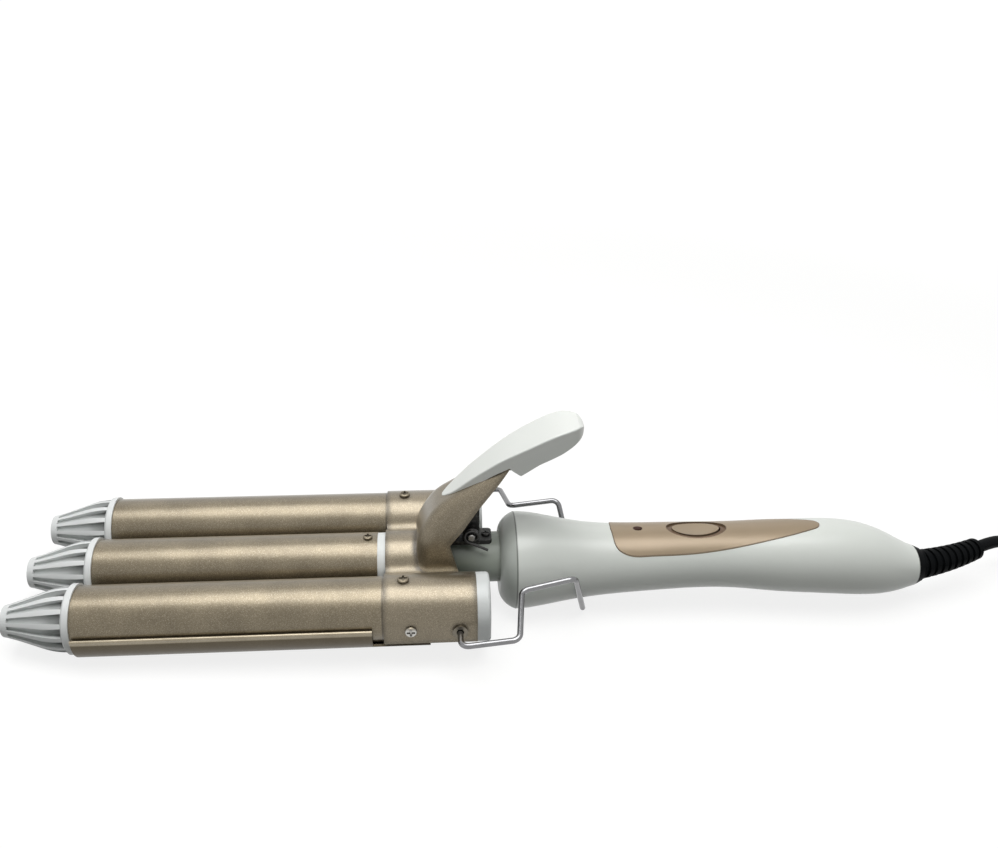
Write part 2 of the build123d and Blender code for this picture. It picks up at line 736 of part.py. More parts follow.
# ---------------------------------------------------------------- thumb pad
pad_top = ((137.6, 32.7), (142.6, 37.0), (148.4, 42.4), (154.2, 47.1), (159.8, 51.3), (167.3, 56.0),
           (172.9, 59.1), (178.5, 62.0), (184.3, 64.2))
pad_end = ((190.4, 64.8), (192.8, 62.6), (192.0, 60.0))
pad_under = ((183.4, 55.0), (175.0, 50.7), (168.0, 45.6), (165.4, 47.2))
pad_plan = ((139.9, 3.1), (142.6, 4.4), (148.4, 5.9), (154.2, 6.9), (159.8, 7.9),
            (167.3, 9.2), (173.5, 9.7), (180.0, 9.8), (186.0, 9.0), (189.9, 6.8), (192.1, 3.5))
pad_tip = (137.0, 0.0)
pad_back = (192.9, 0.0)
with BuildPart() as thumb_pad:
    with BuildSketch(upright(pad_half_width + 1)):
        rim_start = (137.6, 31.6)
        rim_line = ((163.5, 48.7), (158.6, 45.7), (150.3, 40.1), (142.0, 34.5))
        with BuildLine():
            Spline(*pad_top, pad_end[0])
            Spline(*pad_end)
            Polyline(pad_end[-1], *pad_under, *rim_line, rim_start, pad_top[0])
        make_face()
    extrude(amount=2 * pad_half_width + 2)
    with BuildSketch(level(0)):
        with BuildLine():
            Spline(pad_tip, *pad_plan, pad_back)
            Spline(pad_tip, *[(x, -y) for x, y in pad_plan], pad_back)
        make_face()
    extrude(amount=80, mode=Mode.INTERSECT)
    add(horn_block(-pad_gap), mode=Mode.SUBTRACT)
    with BuildSketch(pad_screw_seat):
        Circle(pad_screw_radius + hole_gap / 2)
    extrude(amount=-pad_screw_grip - 0.3, mode=Mode.SUBTRACT)
    pad_face = thumb_pad.faces().filter_by(lambda face: face.normal_at().Z > 0.5).sort_by(SortBy.AREA)[-1]
    fillet(pad_face.edges().sort_by(SortBy.LENGTH)[-2:], pad_edge)
save(thumb_pad, "thumb_pad")

with BuildPart() as pad_screw:
    add(pan_screw(pad_screw_seat, 2.0, 1.0, pad_screw_radius, pad_screw_grip))
save(pad_screw, "pad_screw")

# ---------------------------------------------------------------- wire stand
stand_inner_end = 40.9
stand_half = (
    (eyelet_x, stand_inner_end, eyelet_z),
    (eyelet_x, stand_half_width, eyelet_z),
    (164.9, stand_half_width, 1.3),
    (167.5, 29.9, 6.5),
    (188.4, 28.0, 10.2),
    (195.5, 10.6, -18.9),
)
stand_route = [at(*point) for point in stand_half] + [at(x, -y, z) for x, y, z in reversed(stand_half)]
with BuildPart() as wire_stand:
    with BuildLine():
        FilletPolyline(*stand_route, radius=stand_bend)
    with BuildSketch(Plane(origin=stand_route[0], x_dir=tool.x_dir, z_dir=tool.y_dir)):
        Circle(stand_wire_radius)
    sweep()
save(wire_stand, "wire_stand")

# ---------------------------------------------------------------- handle
# Round sections of the handle from the rim to the cord end: station, height of its centre, radius.
handle_stations = (
    (handle_front_x, rim_z, rim_radius),
    (186.4, -0.9, 17.3),
    (203.3, -1.2, 15.0),
    (224.5, -0.9, 14.0),
    (245.8, -0.7, 13.55),
    (267.4, -1.5, 14.3),
    (289.0, -2.5, 15.6),
    (307.0, -3.7, 15.9),
    (320.6, -5.9, 14.6),
    (334.5, -8.8, 10.4),
    (ring_start_x, -9.3, 8.7),
)


def handle_form(grow):
    """Solid of the handle's round sections, grown or shrunk all round."""
    with BuildPart() as form:
        for x, z, radius in handle_stations:
            with BuildSketch(across(x, 0, z)):
                Circle(radius + grow)
        loft()
    return form.part


def handle_radius(x):
    """Radius and centre height of the handle at a station, read between its sections."""
    for (x0, z0, r0), (x1, z1, r1) in zip(handle_stations[:-1], handle_stations[1:]):
        if x0 <= x <= x1:
            share = (x - x0) / (x1 - x0)
            return z0 + share * (z1 - z0), r0 + share * (r1 - r0)
    return handle_stations[-1][1:]


def cover_outline(gap):
    """Rounded plan of the opening under the handle, shrunk by a gap."""
    with BuildSketch(level(-40)) as plan:
        with Locations(((cover_start + cover_end) / 2, 0)):
            SlotOverall(cover_end - cover_start - 2 * gap, 2 * (cover_half_width - gap))
    return plan.sketch


# Plan of the gold panel: half width against station, from its blunt front to its narrow tip.
panel_plan = ((206.5, 5.6), (207.8, 9.3), (211.5, 11.1), (220.0, 11.5), (234.0, 11.2), (248.0, 10.4),
              (261.0, 9.1), (273.0, 7.4), (283.0, 5.5), (290.0, 3.6), (293.6, 1.9))
panel_front_x = 206.0
panel_tip_x = 294.6


def panel_outline(gap):
    """Plan of the panel, shrunk by a gap."""
    with BuildSketch(level(0)) as plan:
        with BuildLine():
            left = [(x + (gap if x < 210 else 0), y - gap) for x, y in panel_plan]
            Spline((panel_front_x + gap, 0), *left, (panel_tip_x - 2 * gap, 0))
            Spline((panel_front_x + gap, 0), *[(x, -y) for x, y in left], (panel_tip_x - 2 * gap, 0))
        make_face()
    return plan.sketch


def oval(plane, x, length, width):
    """Oval opening or pad, in plan."""
    with BuildSketch(plane) as plan:
        with Locations((x, 0)):
            Ellipse(length / 2, width / 2)
    return plan.sketch


handle_bore = handle_form(-handle_wall)
panel_bed = handle_form(-panel_depth)

with BuildPart() as panel_pocket:
    add(panel_outline(0))
    extrude(amount=40)
    add(handle_form(-panel_depth - 0.05), mode=Mode.SUBTRACT)

boss_stations = (191.0, 304.0)
boss_radius = 3.2
boss_hole = 1.15
standoff_height = 1.4
ledge_stations = (214.0, 281.0)
cap_socket_depth = 5.0
flange_length = 2.5

with BuildPart() as cover_window:
    add(cover_outline(0))
    extrude(amount=32)

with BuildPart() as handle_shell:
    add(handle_form(0))
    add(panel_pocket.part, mode=Mode.SUBTRACT)
    add(handle_bore, mode=Mode.SUBTRACT)
    add(cover_window.part, mode=Mode.SUBTRACT)
    # Bosses for the cover's screws hang from the top wall.
    for x in boss_stations:
        centre_z, radius = handle_radius(x)
        with BuildSketch(level(centre_z - radius + handle_wall + standoff_height)):
            with Locations((x, 0)):
                Circle(boss_radius)
                Circle(boss_hole, mode=Mode.SUBTRACT)
        extrude(amount=2 * (radius - handle_wall) - standoff_height + 0.6)
    # Ledges that carry the board.
    for x in ledge_stations:
        centre_z, radius = handle_radius(x)
        ledge_out = radius - 0.8
        ledge_in = board_half_width - 1.2
        for side in (-1, 1):
            with BuildSketch(across(x - 1.5)):
                with Locations((side * (ledge_in + ledge_out) / 2, board_z - 1.05)):
                    Rectangle(ledge_out - ledge_in, 2.0)
            extrude(amount=3)
    add(oval(level(0), button_x, bezel_length - 1.6, bezel_width - 1.6))
    extrude(amount=30, mode=Mode.SUBTRACT)
    add(oval(level(0), led_x, led_length + 2 * lens_gap, led_width + 2 * lens_gap))
    extrude(amount=30, mode=Mode.SUBTRACT)
    # The front keeps a socket for the cap, the rear one for the strain relief's flange.
    with BuildSketch(across(handle_front_x - 1, 0, rim_z)):
        Circle(rim_radius - handle_wall)
    extrude(amount=cap_socket_depth, mode=Mode.SUBTRACT)
    with BuildSketch(across(ring_start_x - flange_length - 0.6, 0, handle_stations[-1][1])):
        Circle(handle_stations[-1][2] - handle_wall)
    extrude(amount=flange_length + 2, mode=Mode.SUBTRACT)
save(handle_shell, "handle_shell")

with BuildPart() as underside_cover:
    add(cover_outline(seam_gap))
    extrude(amount=32)
    add(handle_form(0), mode=Mode.INTERSECT)
    add(handle_bore, mode=Mode.SUBTRACT)
    for x in boss_stations:
        centre_z, radius = handle_radius(x)
        with BuildSketch(level(centre_z - radius + 0.8)):
            with Locations((x, 0)):
                Circle(boss_radius)
        extrude(amount=handle_wall + standoff_height - 0.85)
        with BuildSketch(level(centre_z - radius - 2)):
            with Locations((x, 0)):
                Circle(boss_hole + 0.15)
        extrude(amount=8, mode=Mode.SUBTRACT)
        with BuildSketch(level(centre_z - radius - 2)):
            with Locations((x, 0)):
                Circle(2.3)
        extrude(amount=3.2, mode=Mode.SUBTRACT)
save(underside_cover, "underside_cover")

with BuildPart() as cover_screws:
    for x in boss_stations:
        centre_z, radius = handle_radius(x)
        under_head = seat(x, 0, centre_z - radius + 1.2 - seat_gap, -tool.z_dir)
        add(pan_screw(under_head, 2.1, 0.9, boss_hole - 0.05, 8.0))
save(cover_screws, "cover_screws")

# Front cap: flat plate round the neck, rounded out to the handle's rim, with a spigot behind.
cap_plate = 1.6
cap_hollow_radius = 14.5
cap_spigot_radius = rim_radius - handle_wall - 0.08
with BuildPart() as front_cap:
    with BuildSketch(upright(0)):
        with BuildLine():
            Line((cap_front_x, rim_z), (cap_front_x, rim_z + 13.6))
            Spline((cap_front_x, rim_z + 13.6), (161.9, rim_z + 16.2), (164.0, rim_z + 18.4),
                   (handle_front_x - 0.05, rim_bottom + 2 * rim_z - 0.05))
            Polyline((handle_front_x - 0.05, rim_bottom + 2 * rim_z - 0.05),
                     (handle_front_x - 0.05, rim_z + cap_spigot_radius),
                     (handle_front_x + cap_socket_depth - 1.5, rim_z + cap_spigot_radius),
                     (handle_front_x + cap_socket_depth - 1.5, rim_z), (cap_front_x, rim_z))
        make_face()
    revolve(axis=Axis(at(0, 0, rim_z), tool.x_dir))
    with BuildSketch(across(cap_front_x + cap_plate, 0, rim_z)):
        Circle(cap_hollow_radius)
    extrude(amount=20, mode=Mode.SUBTRACT)
    with BuildSketch(across(handle_front_x - 1.5, 0, rim_z)):
        Circle(cap_spigot_radius - 1.8)
    extrude(amount=20, mode=Mode.SUBTRACT)
    with BuildSketch(across(cap_front_x - 1, 0, neck_rise)):
        Circle(neck_radius + 0.12)
    extrude(amount=4, mode=Mode.SUBTRACT)
save(front_cap, "front_cap")

# Gold panel let into the top of the handle, with a dark bezel round the button.
with BuildPart() as top_panel:
    add(panel_outline(0.08))
    extrude(amount=40)
    add(handle_form(panel_proud), mode=Mode.INTERSECT)
    add(panel_bed, mode=Mode.SUBTRACT)
    add(oval(level(0), button_x, bezel_length, bezel_width))
    extrude(amount=30, mode=Mode.SUBTRACT)
    add(oval(level(0), led_x, led_length + 2 * lens_gap, led_width + 2 * lens_gap))
    extrude(amount=30, mode=Mode.SUBTRACT)
save(top_panel, "top_panel")

bezel_sink = 0.35
with BuildPart() as bezel_foot:
    add(oval(level(0), button_x, bezel_length - 1.8, bezel_width - 1.8))
    extrude(amount=40)
    add(handle_form(-handle_wall - 0.1), mode=Mode.SUBTRACT)
with BuildPart() as button_bezel:
    add(oval(level(0), button_x, bezel_length - 0.15, bezel_width - 0.15))
    extrude(amount=40)
    add(panel_bed, mode=Mode.SUBTRACT)
    add(bezel_foot.part)
    add(handle_form(-bezel_sink), mode=Mode.INTERSECT)
    add(oval(level(0), button_x, button_length + 2 * button_gap, button_width + 2 * button_gap))
    extrude(amount=40, mode=Mode.SUBTRACT)
save(button_bezel, "button_bezel")

switch_height = 3.6
switch_top = board_z + board_thickness + 0.05 + switch_height
button_foot = switch_top + button_travel + 0.35
plunger_radius = 1.5
dish_radius = 45.0
dish_depth = 0.75
with BuildPart() as power_button:
    add(oval(level(button_foot), button_x, button_length, button_width))
    extrude(amount=20)
    add(handle_form(0.1), mode=Mode.INTERSECT)
    with BuildSketch(level(button_foot)):
        with Locations((button_x, 0)):
            Ellipse(button_length / 2 + 1.2, button_width / 2 + 0.5)
    extrude(amount=1.0)
    # Shallow dish for the fingertip.
    dish_z, dish_top = handle_radius(button_x)
    with Locations(at(button_x, 0, dish_z + dish_top - dish_depth + dish_radius)):
        Sphere(dish_radius, mode=Mode.SUBTRACT)
save(power_button, "power_button")

with BuildPart() as switch_plunger:
    with BuildSketch(level(button_foot - 0.02)):
        with Locations((button_x, 0)):
            Circle(plunger_radius)
    extrude(amount=-3.1)
save(switch_plunger, "switch_plunger")

with BuildPart() as switch_body:
    with BuildSketch(level(switch_top - switch_height)):
        with Locations((button_x, 0)):
            RectangleRounded(12.5, 8.0, 0.8)
    extrude(amount=switch_height)
    with BuildSketch(level(switch_top - switch_height + 0.3)):
        with Locations((button_x, 0)):
            Circle(plunger_radius + 0.3)
    extrude(amount=switch_height, mode=Mode.SUBTRACT)
save(switch_body, "switch_body")

with BuildPart() as circuit_board:
    with BuildSketch(level(board_z)):
        with Locations(((board_start + board_end) / 2, 0)):
            Rectangle(board_end - board_start, 2 * board_half_width)
        with Locations((board_start + 3, 5.2), (board_end - 3, 5.2),
                       (board_start + 3, -5.2), (board_end - 3, -5.2)):
            Circle(0.9, mode=Mode.SUBTRACT)
    extrude(amount=board_thickness)
save(circuit_board, "circuit_board")

with BuildPart() as status_led:
    with BuildSketch(level(board_z + board_thickness + 0.02)):
        with Locations((led_x, 0)):
            RectangleRounded(3.0, 2.2, 0.4)
    extrude(amount=1.8)
save(status_led, "status_led")

with BuildPart() as lamp_lens:
    add(oval(level(board_z + board_thickness + 2.0), led_x, led_length, led_width))
    extrude(amount=20)
    add(handle_form(panel_proud + 0.1), mode=Mode.INTERSECT)
save(lamp_lens, "lamp_lens")

# Parts on the board: two capacitors, a relay-sized block and a row of terminals.
# Each block is x, y, length, width and height.
board_blocks = ((281.0, 0.0, 7.0, 11.0, 6.0), (228.0, -3.4, 5.0, 4.0, 1.6), (209.5, 0, 4.0, 11.0, 5.0))
with BuildPart() as board_components:
    for x, y, radius, height in ((262, 3.0, 2.9, 6.0), (270.5, -3.2, 3.2, 5.0)):
        with BuildSketch(level(board_z + board_thickness + 0.02)):
            with Locations((x, y)):
                Circle(radius)
        extrude(amount=height)
    for x, y, length, width, height in board_blocks:
        with BuildSketch(level(board_z + board_thickness + 0.02)):
            with Locations((x, y)):
                Rectangle(length, width)
        extrude(amount=height)
save(board_components, "board_components")

# ---------------------------------------------------------------- leads inside the neck and handle
lead_radius = 0.85
lead_y = 5.0
lead_z = board_z - lead_radius - 0.02
relief_z = handle_stations[-1][1]
with BuildPart() as heater_leads:
    for side in (-1, 1):
        with BuildSketch(across(heater_end + 0.1, side * lead_y, lead_z)):
            Circle(lead_radius)
        extrude(amount=board_start + 6 - heater_end)
save(heater_leads, "heater_leads")

with BuildPart() as mains_leads:
    for side in (-1, 1):
        lead_points = [at(x, side * y, z) for x, y, z in (
            (board_end - 6, lead_y, lead_z), (311, lead_y, lead_z), (326, 3.0, -6.6),
            (ring_start_x - flange_length - 0.4, 2.2, relief_z + 0.3))]
        with BuildLine() as lead_line:
            FilletPolyline(*lead_points, radius=9)
        with BuildSketch(Plane(origin=lead_points[0], x_dir=tool.y_dir, z_dir=tool.x_dir)):
            Circle(lead_radius)
        sweep(path=lead_line.line)
save(mains_leads, "mains_leads")

# ---------------------------------------------------------------- rear ring and strain relief
with BuildPart() as end_ring:
    with BuildSketch(across(ring_start_x + 0.03, 0, relief_z)):
        Circle(handle_stations[-1][2])
    with BuildSketch(across(ring_end_x, 0, relief_z)):
        Circle(ring_end_radius)
    loft()
    with BuildSketch(across(ring_start_x - 1, 0, relief_z)):
        Circle(relief_root_radius + 0.1)
    extrude(amount=8, mode=Mode.SUBTRACT)
save(end_ring, "end_ring")

relief_start_x = ring_end_x + 0.5
relief_bend = relief_length / radians(relief_end_heading - relief_start_heading)


def relief_plane(along):
    """Plane square to the strain relief's bent axis, at a distance along it."""
    turn = radians(relief_start_heading) + along / relief_bend
    x = relief_start_x + relief_bend * (sin(turn) - sin(radians(relief_start_heading)))
    y = relief_bend * (cos(radians(relief_start_heading)) - cos(turn))
    z = relief_z - relief_drop * along / relief_length
    ahead = at(cos(turn), sin(turn), -relief_drop / relief_length) - at(0, 0, 0)
    return Plane(origin=at(x, y, z), x_dir=ahead.cross(tool.z_dir), z_dir=ahead)


def relief_radius(along):
    """Outer radius of the strain relief's ribs, which taper towards the cord."""
    return relief_root_radius + (relief_end_radius - relief_root_radius) * along / relief_length


with BuildPart() as strain_relief:
    with BuildSketch(across(ring_start_x - flange_length, 0, relief_z)):
        Circle(relief_root_radius + 0.35)
    extrude(amount=flange_length - 0.05)
    with BuildSketch(across(ring_start_x - flange_length, 0, relief_z)):
        Circle(relief_root_radius)
    extrude(amount=relief_start_x - ring_start_x + flange_length + 1.2)
    for step in range(5):
        along = relief_length * step / 4
        with BuildSketch(relief_plane(along)):
            Circle(relief_radius(along) - 0.9)
    loft()
    rib_pitch = relief_length / relief_ribs
    for i in range(relief_ribs):
        along = rib_pitch * (i + 0.35)
        with BuildSketch(relief_plane(along)):
            Circle(relief_radius(along))
        extrude(amount=rib_pitch * 0.55)
save(strain_relief, "strain_relief")

# ---------------------------------------------------------------- mains cord, coil, tie and plug
relief_end = relief_plane(relief_length)
cord_exit = relief_end.origin
cord_radius = cord_diameter / 2
first_run = 14.5
table_z = coil_lift + cord_radius
# The cord's corners after its first run: how far past the exit, to the side, and how high.
cord_corners = ((25.1, 11.6, 12.6), (37.1, 13.2, 7.2), (49.6, 12.6, table_z), (62.4, 10.3, table_z))
cord_route = [cord_exit, cord_exit + relief_end.z_dir * first_run]
for past, sideways, height in cord_corners:
    cord_route.append(Vector(cord_exit.X + past, cord_exit.Y + sideways, height))


def bend_radii(points):
    """Largest tangent radius at each inner point: 0.45 of the shorter run over tan of half the turn."""
    radii = []
    for before, point, after in zip(points[:-2], points[1:-1], points[2:]):
        run_in = point - before
        run_out = after - point
        turn = radians(run_in.get_angle(run_out))
        radii.append(0.45 * min(run_in.length, run_out.length) / tan(turn / 2))
    return radii


cord_radii = bend_radii(cord_route)
with BuildPart() as power_cord:
    with BuildLine() as cord_line:
        FilletPolyline(*cord_route, radius=cord_radii)
    with BuildSketch(Plane(origin=cord_exit, z_dir=cord_route[1] - cord_exit)):
        Circle(cord_radius)
    sweep()
save(power_cord, "power_cord")

# The rest of the cord lies in a flat coil wound clockwise: columns of turns beside each other,
# in layers. The incoming run joins its outer turn, and the tail leaves the outer turn for the plug.
coil_outer_turn = coil_mean_radius + (coil_columns - 1) / 2 * cord_diameter
coil_outside = coil_outer_turn + cord_radius
coil_inside = coil_mean_radius - coil_columns / 2 * cord_diameter
coil_top = coil_lift + coil_layers * cord_diameter
entry_start = cord_route[-1]
entry_ahead = (entry_start - cord_route[-2]).normalized()
coil_centre = entry_start + entry_ahead * coil_stub + entry_ahead.cross(Vector(0, 0, 1)) * coil_outer_turn
coil_centre = Vector(coil_centre.X, coil_centre.Y, 0)
exit_turn = radians(exit_heading)
exit_ahead = Vector(cos(exit_turn), sin(exit_turn), 0)
exit_leave = coil_centre - exit_ahead.cross(Vector(0, 0, 1)) * coil_outer_turn
plug_z = plug_thickness / 2
exit_end = exit_leave + exit_ahead * coil_stub + Vector(0, 0, plug_z)

tie_sheet = 0.8
tie_half_width = 4.0
tie_angle = radians(-62)
tie_out = Vector(cos(tie_angle), sin(tie_angle), 0)
tie_plane = Plane(origin=coil_centre, x_dir=tie_out, z_dir=tie_out.cross(Vector(0, 0, 1)))
tie_inside = coil_inside - 0.5 - tie_sheet
tie_outside = coil_outside + 0.1 + tie_sheet
with BuildPart() as cord_coil:
    with BuildSketch(Plane.XY):
        with Locations((coil_centre.X, coil_centre.Y)):
            Circle(coil_outside)
            Circle(coil_inside, mode=Mode.SUBTRACT)
    extrude(amount=coil_top)
    fillet(cord_coil.edges().filter_by(GeomType.CIRCLE), cord_radius * 0.8)
    with BuildSketch(Plane(origin=entry_start, z_dir=entry_ahead)):
        Circle(cord_radius)
    extrude(amount=coil_stub)
    with BuildSketch(Plane(origin=exit_end, z_dir=-exit_ahead)):
        Circle(cord_radius)
    extrude(amount=coil_stub)
    # Room for the tie under the turns.
    with BuildSketch(tie_plane):
        with Locations(((tie_inside + tie_outside) / 2, tie_sheet / 2)):
            Rectangle(tie_outside - tie_inside + 0.2, tie_sheet + 0.04)
    extrude(amount=tie_half_width + 0.1, both=True, mode=Mode.SUBTRACT)
save(cord_coil, "cord_coil")

with BuildPart() as cord_tie:
    tie_height = coil_top + 0.1 + tie_sheet
    with BuildSketch(tie_plane):
        with Locations(((tie_inside + tie_outside) / 2, tie_height / 2)):
            Rectangle(tie_outside - tie_inside, tie_height)
            Rectangle(tie_outside - tie_inside - 2 * tie_sheet, tie_height - 2 * tie_sheet,
                      mode=Mode.SUBTRACT)
    extrude(amount=tie_half_width, both=True)
save(cord_tie, "cord_tie")

plug_start = Plane(origin=exit_end, x_dir=exit_ahead.cross(Vector(0, 0, 1)), z_dir=exit_ahead)
plug_front = plug_relief_length + plug_body_length
with BuildPart() as power_plug:
    with BuildSketch(plug_start):
        Circle(cord_radius + 0.7)
    with BuildSketch(plug_start.offset(plug_relief_length + 1)):
        Circle(cord_radius + 2.0)
    loft()
    with BuildSketch(plug_start.offset(plug_relief_length)):
        RectangleRounded(14.0, 10.4, 4.0)
    with BuildSketch(plug_start.offset(plug_relief_length + 9)):
        RectangleRounded(26.0, 12.8, 5.0)
    with BuildSketch(plug_start.offset(plug_relief_length + 18)):
        RectangleRounded(plug_width, plug_thickness, 6.0)
    loft()
    with BuildSketch(plug_start.offset(plug_relief_length + 18)):
        RectangleRounded(plug_width, plug_thickness, 6.0)
    extrude(amount=plug_body_length - 18)
    with BuildSketch(plug_start.offset(plug_front)):
        with Locations((plug_pin_spacing / 2, 0), (-plug_pin_spacing / 2, 0)):
            Circle(plug_root_radius)
    extrude(amount=-plug_pin_root, mode=Mode.SUBTRACT)
save(power_plug, "power_plug")

with BuildPart() as plug_pins:
    with BuildSketch(plug_start.offset(plug_front)):
        with Locations((plug_pin_spacing / 2, 0), (-plug_pin_spacing / 2, 0)):
            Circle(plug_root_radius)
    extrude(amount=-plug_pin_root)
    with BuildSketch(plug_start.offset(plug_front)):
        with Locations((plug_pin_spacing / 2, 0), (-plug_pin_spacing / 2, 0)):
            Circle(plug_pin_radius)
    extrude(amount=plug_pin_length)
    pin_line = Axis(plug_start.origin, plug_start.z_dir)
    pin_tips = plug_pins.edges().filter_by(GeomType.CIRCLE).group_by(pin_line)[-1]
    fillet(pin_tips, plug_pin_radius * 0.8)
save(plug_pins, "plug_pins")

print("lie angle", round(lie_angle, 4), "height", round(lie_height, 4))
print("cord bend radii", [round(r, 1) for r in cord_radii])
run_lengths = [(b - a).length for a, b in zip(cord_route[:-1], cord_route[1:])]
print("cord runs", [round(r, 1) for r in run_lengths])
cord_path = sum(edge.length for edge in cord_line.edges())
print("cord tube", round(cord_path, 1), "volume", round(power_cord.part.volume, 1),
      "section times length", round(pi * cord_radius ** 2 * cord_path, 1))
print("cord exit", cord_exit, "coil centre", coil_centre, "plug", exit_end)
turned = (degrees(atan2(entry_ahead.Y, entry_ahead.X)) - exit_heading) / 360
coil_turns = coil_columns * coil_layers - 1 + turned
cord_total = cord_path + 2 * coil_stub + 2 * pi * coil_mean_radius * coil_turns
print("coil turns", round(coil_turns, 3), "cord length", round(cord_total))
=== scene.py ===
import json

import bpy
import numpy as np
from mathutils import Matrix, Vector


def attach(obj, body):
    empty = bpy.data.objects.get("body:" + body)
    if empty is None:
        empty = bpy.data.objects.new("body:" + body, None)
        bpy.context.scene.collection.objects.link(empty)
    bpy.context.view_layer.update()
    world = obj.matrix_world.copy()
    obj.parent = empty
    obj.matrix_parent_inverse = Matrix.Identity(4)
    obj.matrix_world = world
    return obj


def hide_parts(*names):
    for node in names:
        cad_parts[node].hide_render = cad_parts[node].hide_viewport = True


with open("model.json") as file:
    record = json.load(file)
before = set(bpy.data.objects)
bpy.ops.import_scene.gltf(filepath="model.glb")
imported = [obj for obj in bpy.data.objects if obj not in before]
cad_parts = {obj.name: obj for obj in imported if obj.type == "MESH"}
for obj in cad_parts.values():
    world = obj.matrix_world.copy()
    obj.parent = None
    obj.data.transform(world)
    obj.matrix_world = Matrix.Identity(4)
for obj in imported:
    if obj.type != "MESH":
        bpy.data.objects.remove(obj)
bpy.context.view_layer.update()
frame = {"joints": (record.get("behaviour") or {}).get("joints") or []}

# ------------------------------------------------------------------ how the iron lies
# The iron rests nose down on its lower shells and on the handle's rim, so its own axes are
# turned a little about the table's Y axis. Its sizes are written in millimetres on its own axes.
MM = 0.001
press_axis = next(joint for joint in frame["joints"] if joint["name"] == "button_press")["axis"]
lie = np.arctan2(press_axis[0], -press_axis[2])
lie_height = 14.275
tool_middle = 174.675


def on_table(x, y, z):
    """Millimetres on the iron's own axes as metres on the table: turned by the lie angle about Y,
    then lifted by the lie height and moved back by the tool's middle."""
    x, y, z = np.broadcast_arrays(x, y, z)
    turned_x = x * np.cos(lie) - z * np.sin(lie)
    turned_z = x * np.sin(lie) + z * np.cos(lie)
    return np.stack([turned_x - tool_middle, y, turned_z + lie_height], axis=-1) * MM


def way_on_table(x, y, z):
    """A direction on the iron's own axes as a unit vector on the table."""
    return Vector(on_table(x, y, z) - on_table(0, 0, 0)).normalized()


# ------------------------------------------------------------------ view
# A camera in front of the iron and above it, to the left of its middle. It looks down past the
# barrels, with its horizon rolled about one degree.
camera_place = (132.3, -338.5, 247.9)
camera_yaw, camera_pitch, camera_roll = np.radians([4.65, 28.47, 1.10])
focal_pixels = 1004.5
picture_width = 998

ahead = way_on_table(np.sin(camera_yaw) * np.cos(camera_pitch),
                     np.cos(camera_yaw) * np.cos(camera_pitch), -np.sin(camera_pitch))
level_right = way_on_table(np.cos(camera_yaw), -np.sin(camera_yaw), 0)
level_up = level_right.cross(ahead)
right = level_right * np.cos(camera_roll) + level_up * np.sin(camera_roll)
up = level_up * np.cos(camera_roll) - level_right * np.sin(camera_roll)
lens = bpy.data.cameras.new("view")
lens.sensor_width = 36
lens.lens = lens.sensor_width * focal_pixels / picture_width
lens.clip_start = 0.01
camera = bpy.data.objects.new("view", lens)
bpy.context.scene.collection.objects.link(camera)
turn = Matrix((right, up, -ahead)).transposed().to_4x4()
camera.matrix_world = Matrix.Translation(Vector(on_table(*camera_place))) @ turn
bpy.context.scene.camera = camera
bpy.context.scene.view_settings.view_transform = "Standard"

# ------------------------------------------------------------------ mains cord
# Round two-core PVC lead, 5.4 mm across, moulded into its strain relief and its plug. It falls
# to the table in one easy bend, and the rest of it is wound in a flat coil of two layers.
cord_diameter = 5.4 * MM
cord_route = np.array([
    (0.200029, 0.012154, 0.017524),
    (0.212834, 0.018955, 0.017365),
    (0.225129, 0.023754, 0.0126),
    (0.237129, 0.025354, 0.0072),
    (0.249629, 0.024754, 0.0035),
    (0.262429, 0.022454, 0.0035),
])
coil_centre = np.array([0.282348, -0.025017])
coil_outer_turn = 43.2 * MM
coil_columns = 5
coil_tail = 28.0 * MM
low_layer = 3.5 * MM
high_layer = low_layer + cord_diameter
plug_start = np.array([0.330063, -0.00569, 0.00685])
tail_heading = np.radians(-35.0)
points_per_turn = 24
sink_in_plug = 3.0 * MM


def eased(value):
    """Smooth step from 0 to 1: 3 t squared minus 2 t cubed, with t held between 0 and 1."""
    value = np.clip(value, 0, 1)
    return value * value * (3 - 2 * value)


entry = cord_route[-1] - cord_route[-2]
entry_heading = np.arctan2(entry[1], entry[0])
whole_turns = 2 * coil_columns - 1
turns = whole_turns + (entry_heading - tail_heading) / (2 * np.pi)
wound = np.arange(0, turns, 1 / points_per_turn)
# Each turn keeps its radius but for one short step sideways: in on the lower layer, out on the
# upper one, with the climb between them at the inner turn. All are counted in turns.
side_step = 0.30
climb = 0.22
steps = np.arange(coil_columns - 1)[:, None]
columns_in = eased((wound - steps - 0.65) / side_step).sum(axis=0)
columns_out = eased((wound - coil_columns - steps - 0.08) / side_step).sum(axis=0)
turn_radius = coil_outer_turn - cord_diameter * (columns_in - columns_out)
turn_height = low_layer + cord_diameter * eased((wound - coil_columns + 0.60) / climb)
heading = entry_heading - 2 * np.pi * wound
reach = turn_radius / np.cos(np.pi / points_per_turn)
coil = np.stack([coil_centre[0] - reach * np.sin(heading),
                 coil_centre[1] + reach * np.cos(heading), turn_height], axis=-1)
tail_way = np.array([np.cos(tail_heading), np.sin(tail_heading), 0])
tail_high = plug_start - tail_way * coil_tail + np.array([0, 0, high_layer - plug_start[2]])
tail_middle = plug_start - tail_way * coil_tail / 3
cord_points = np.vstack([cord_route, coil, tail_high, tail_middle, plug_start + tail_way * sink_in_plug])

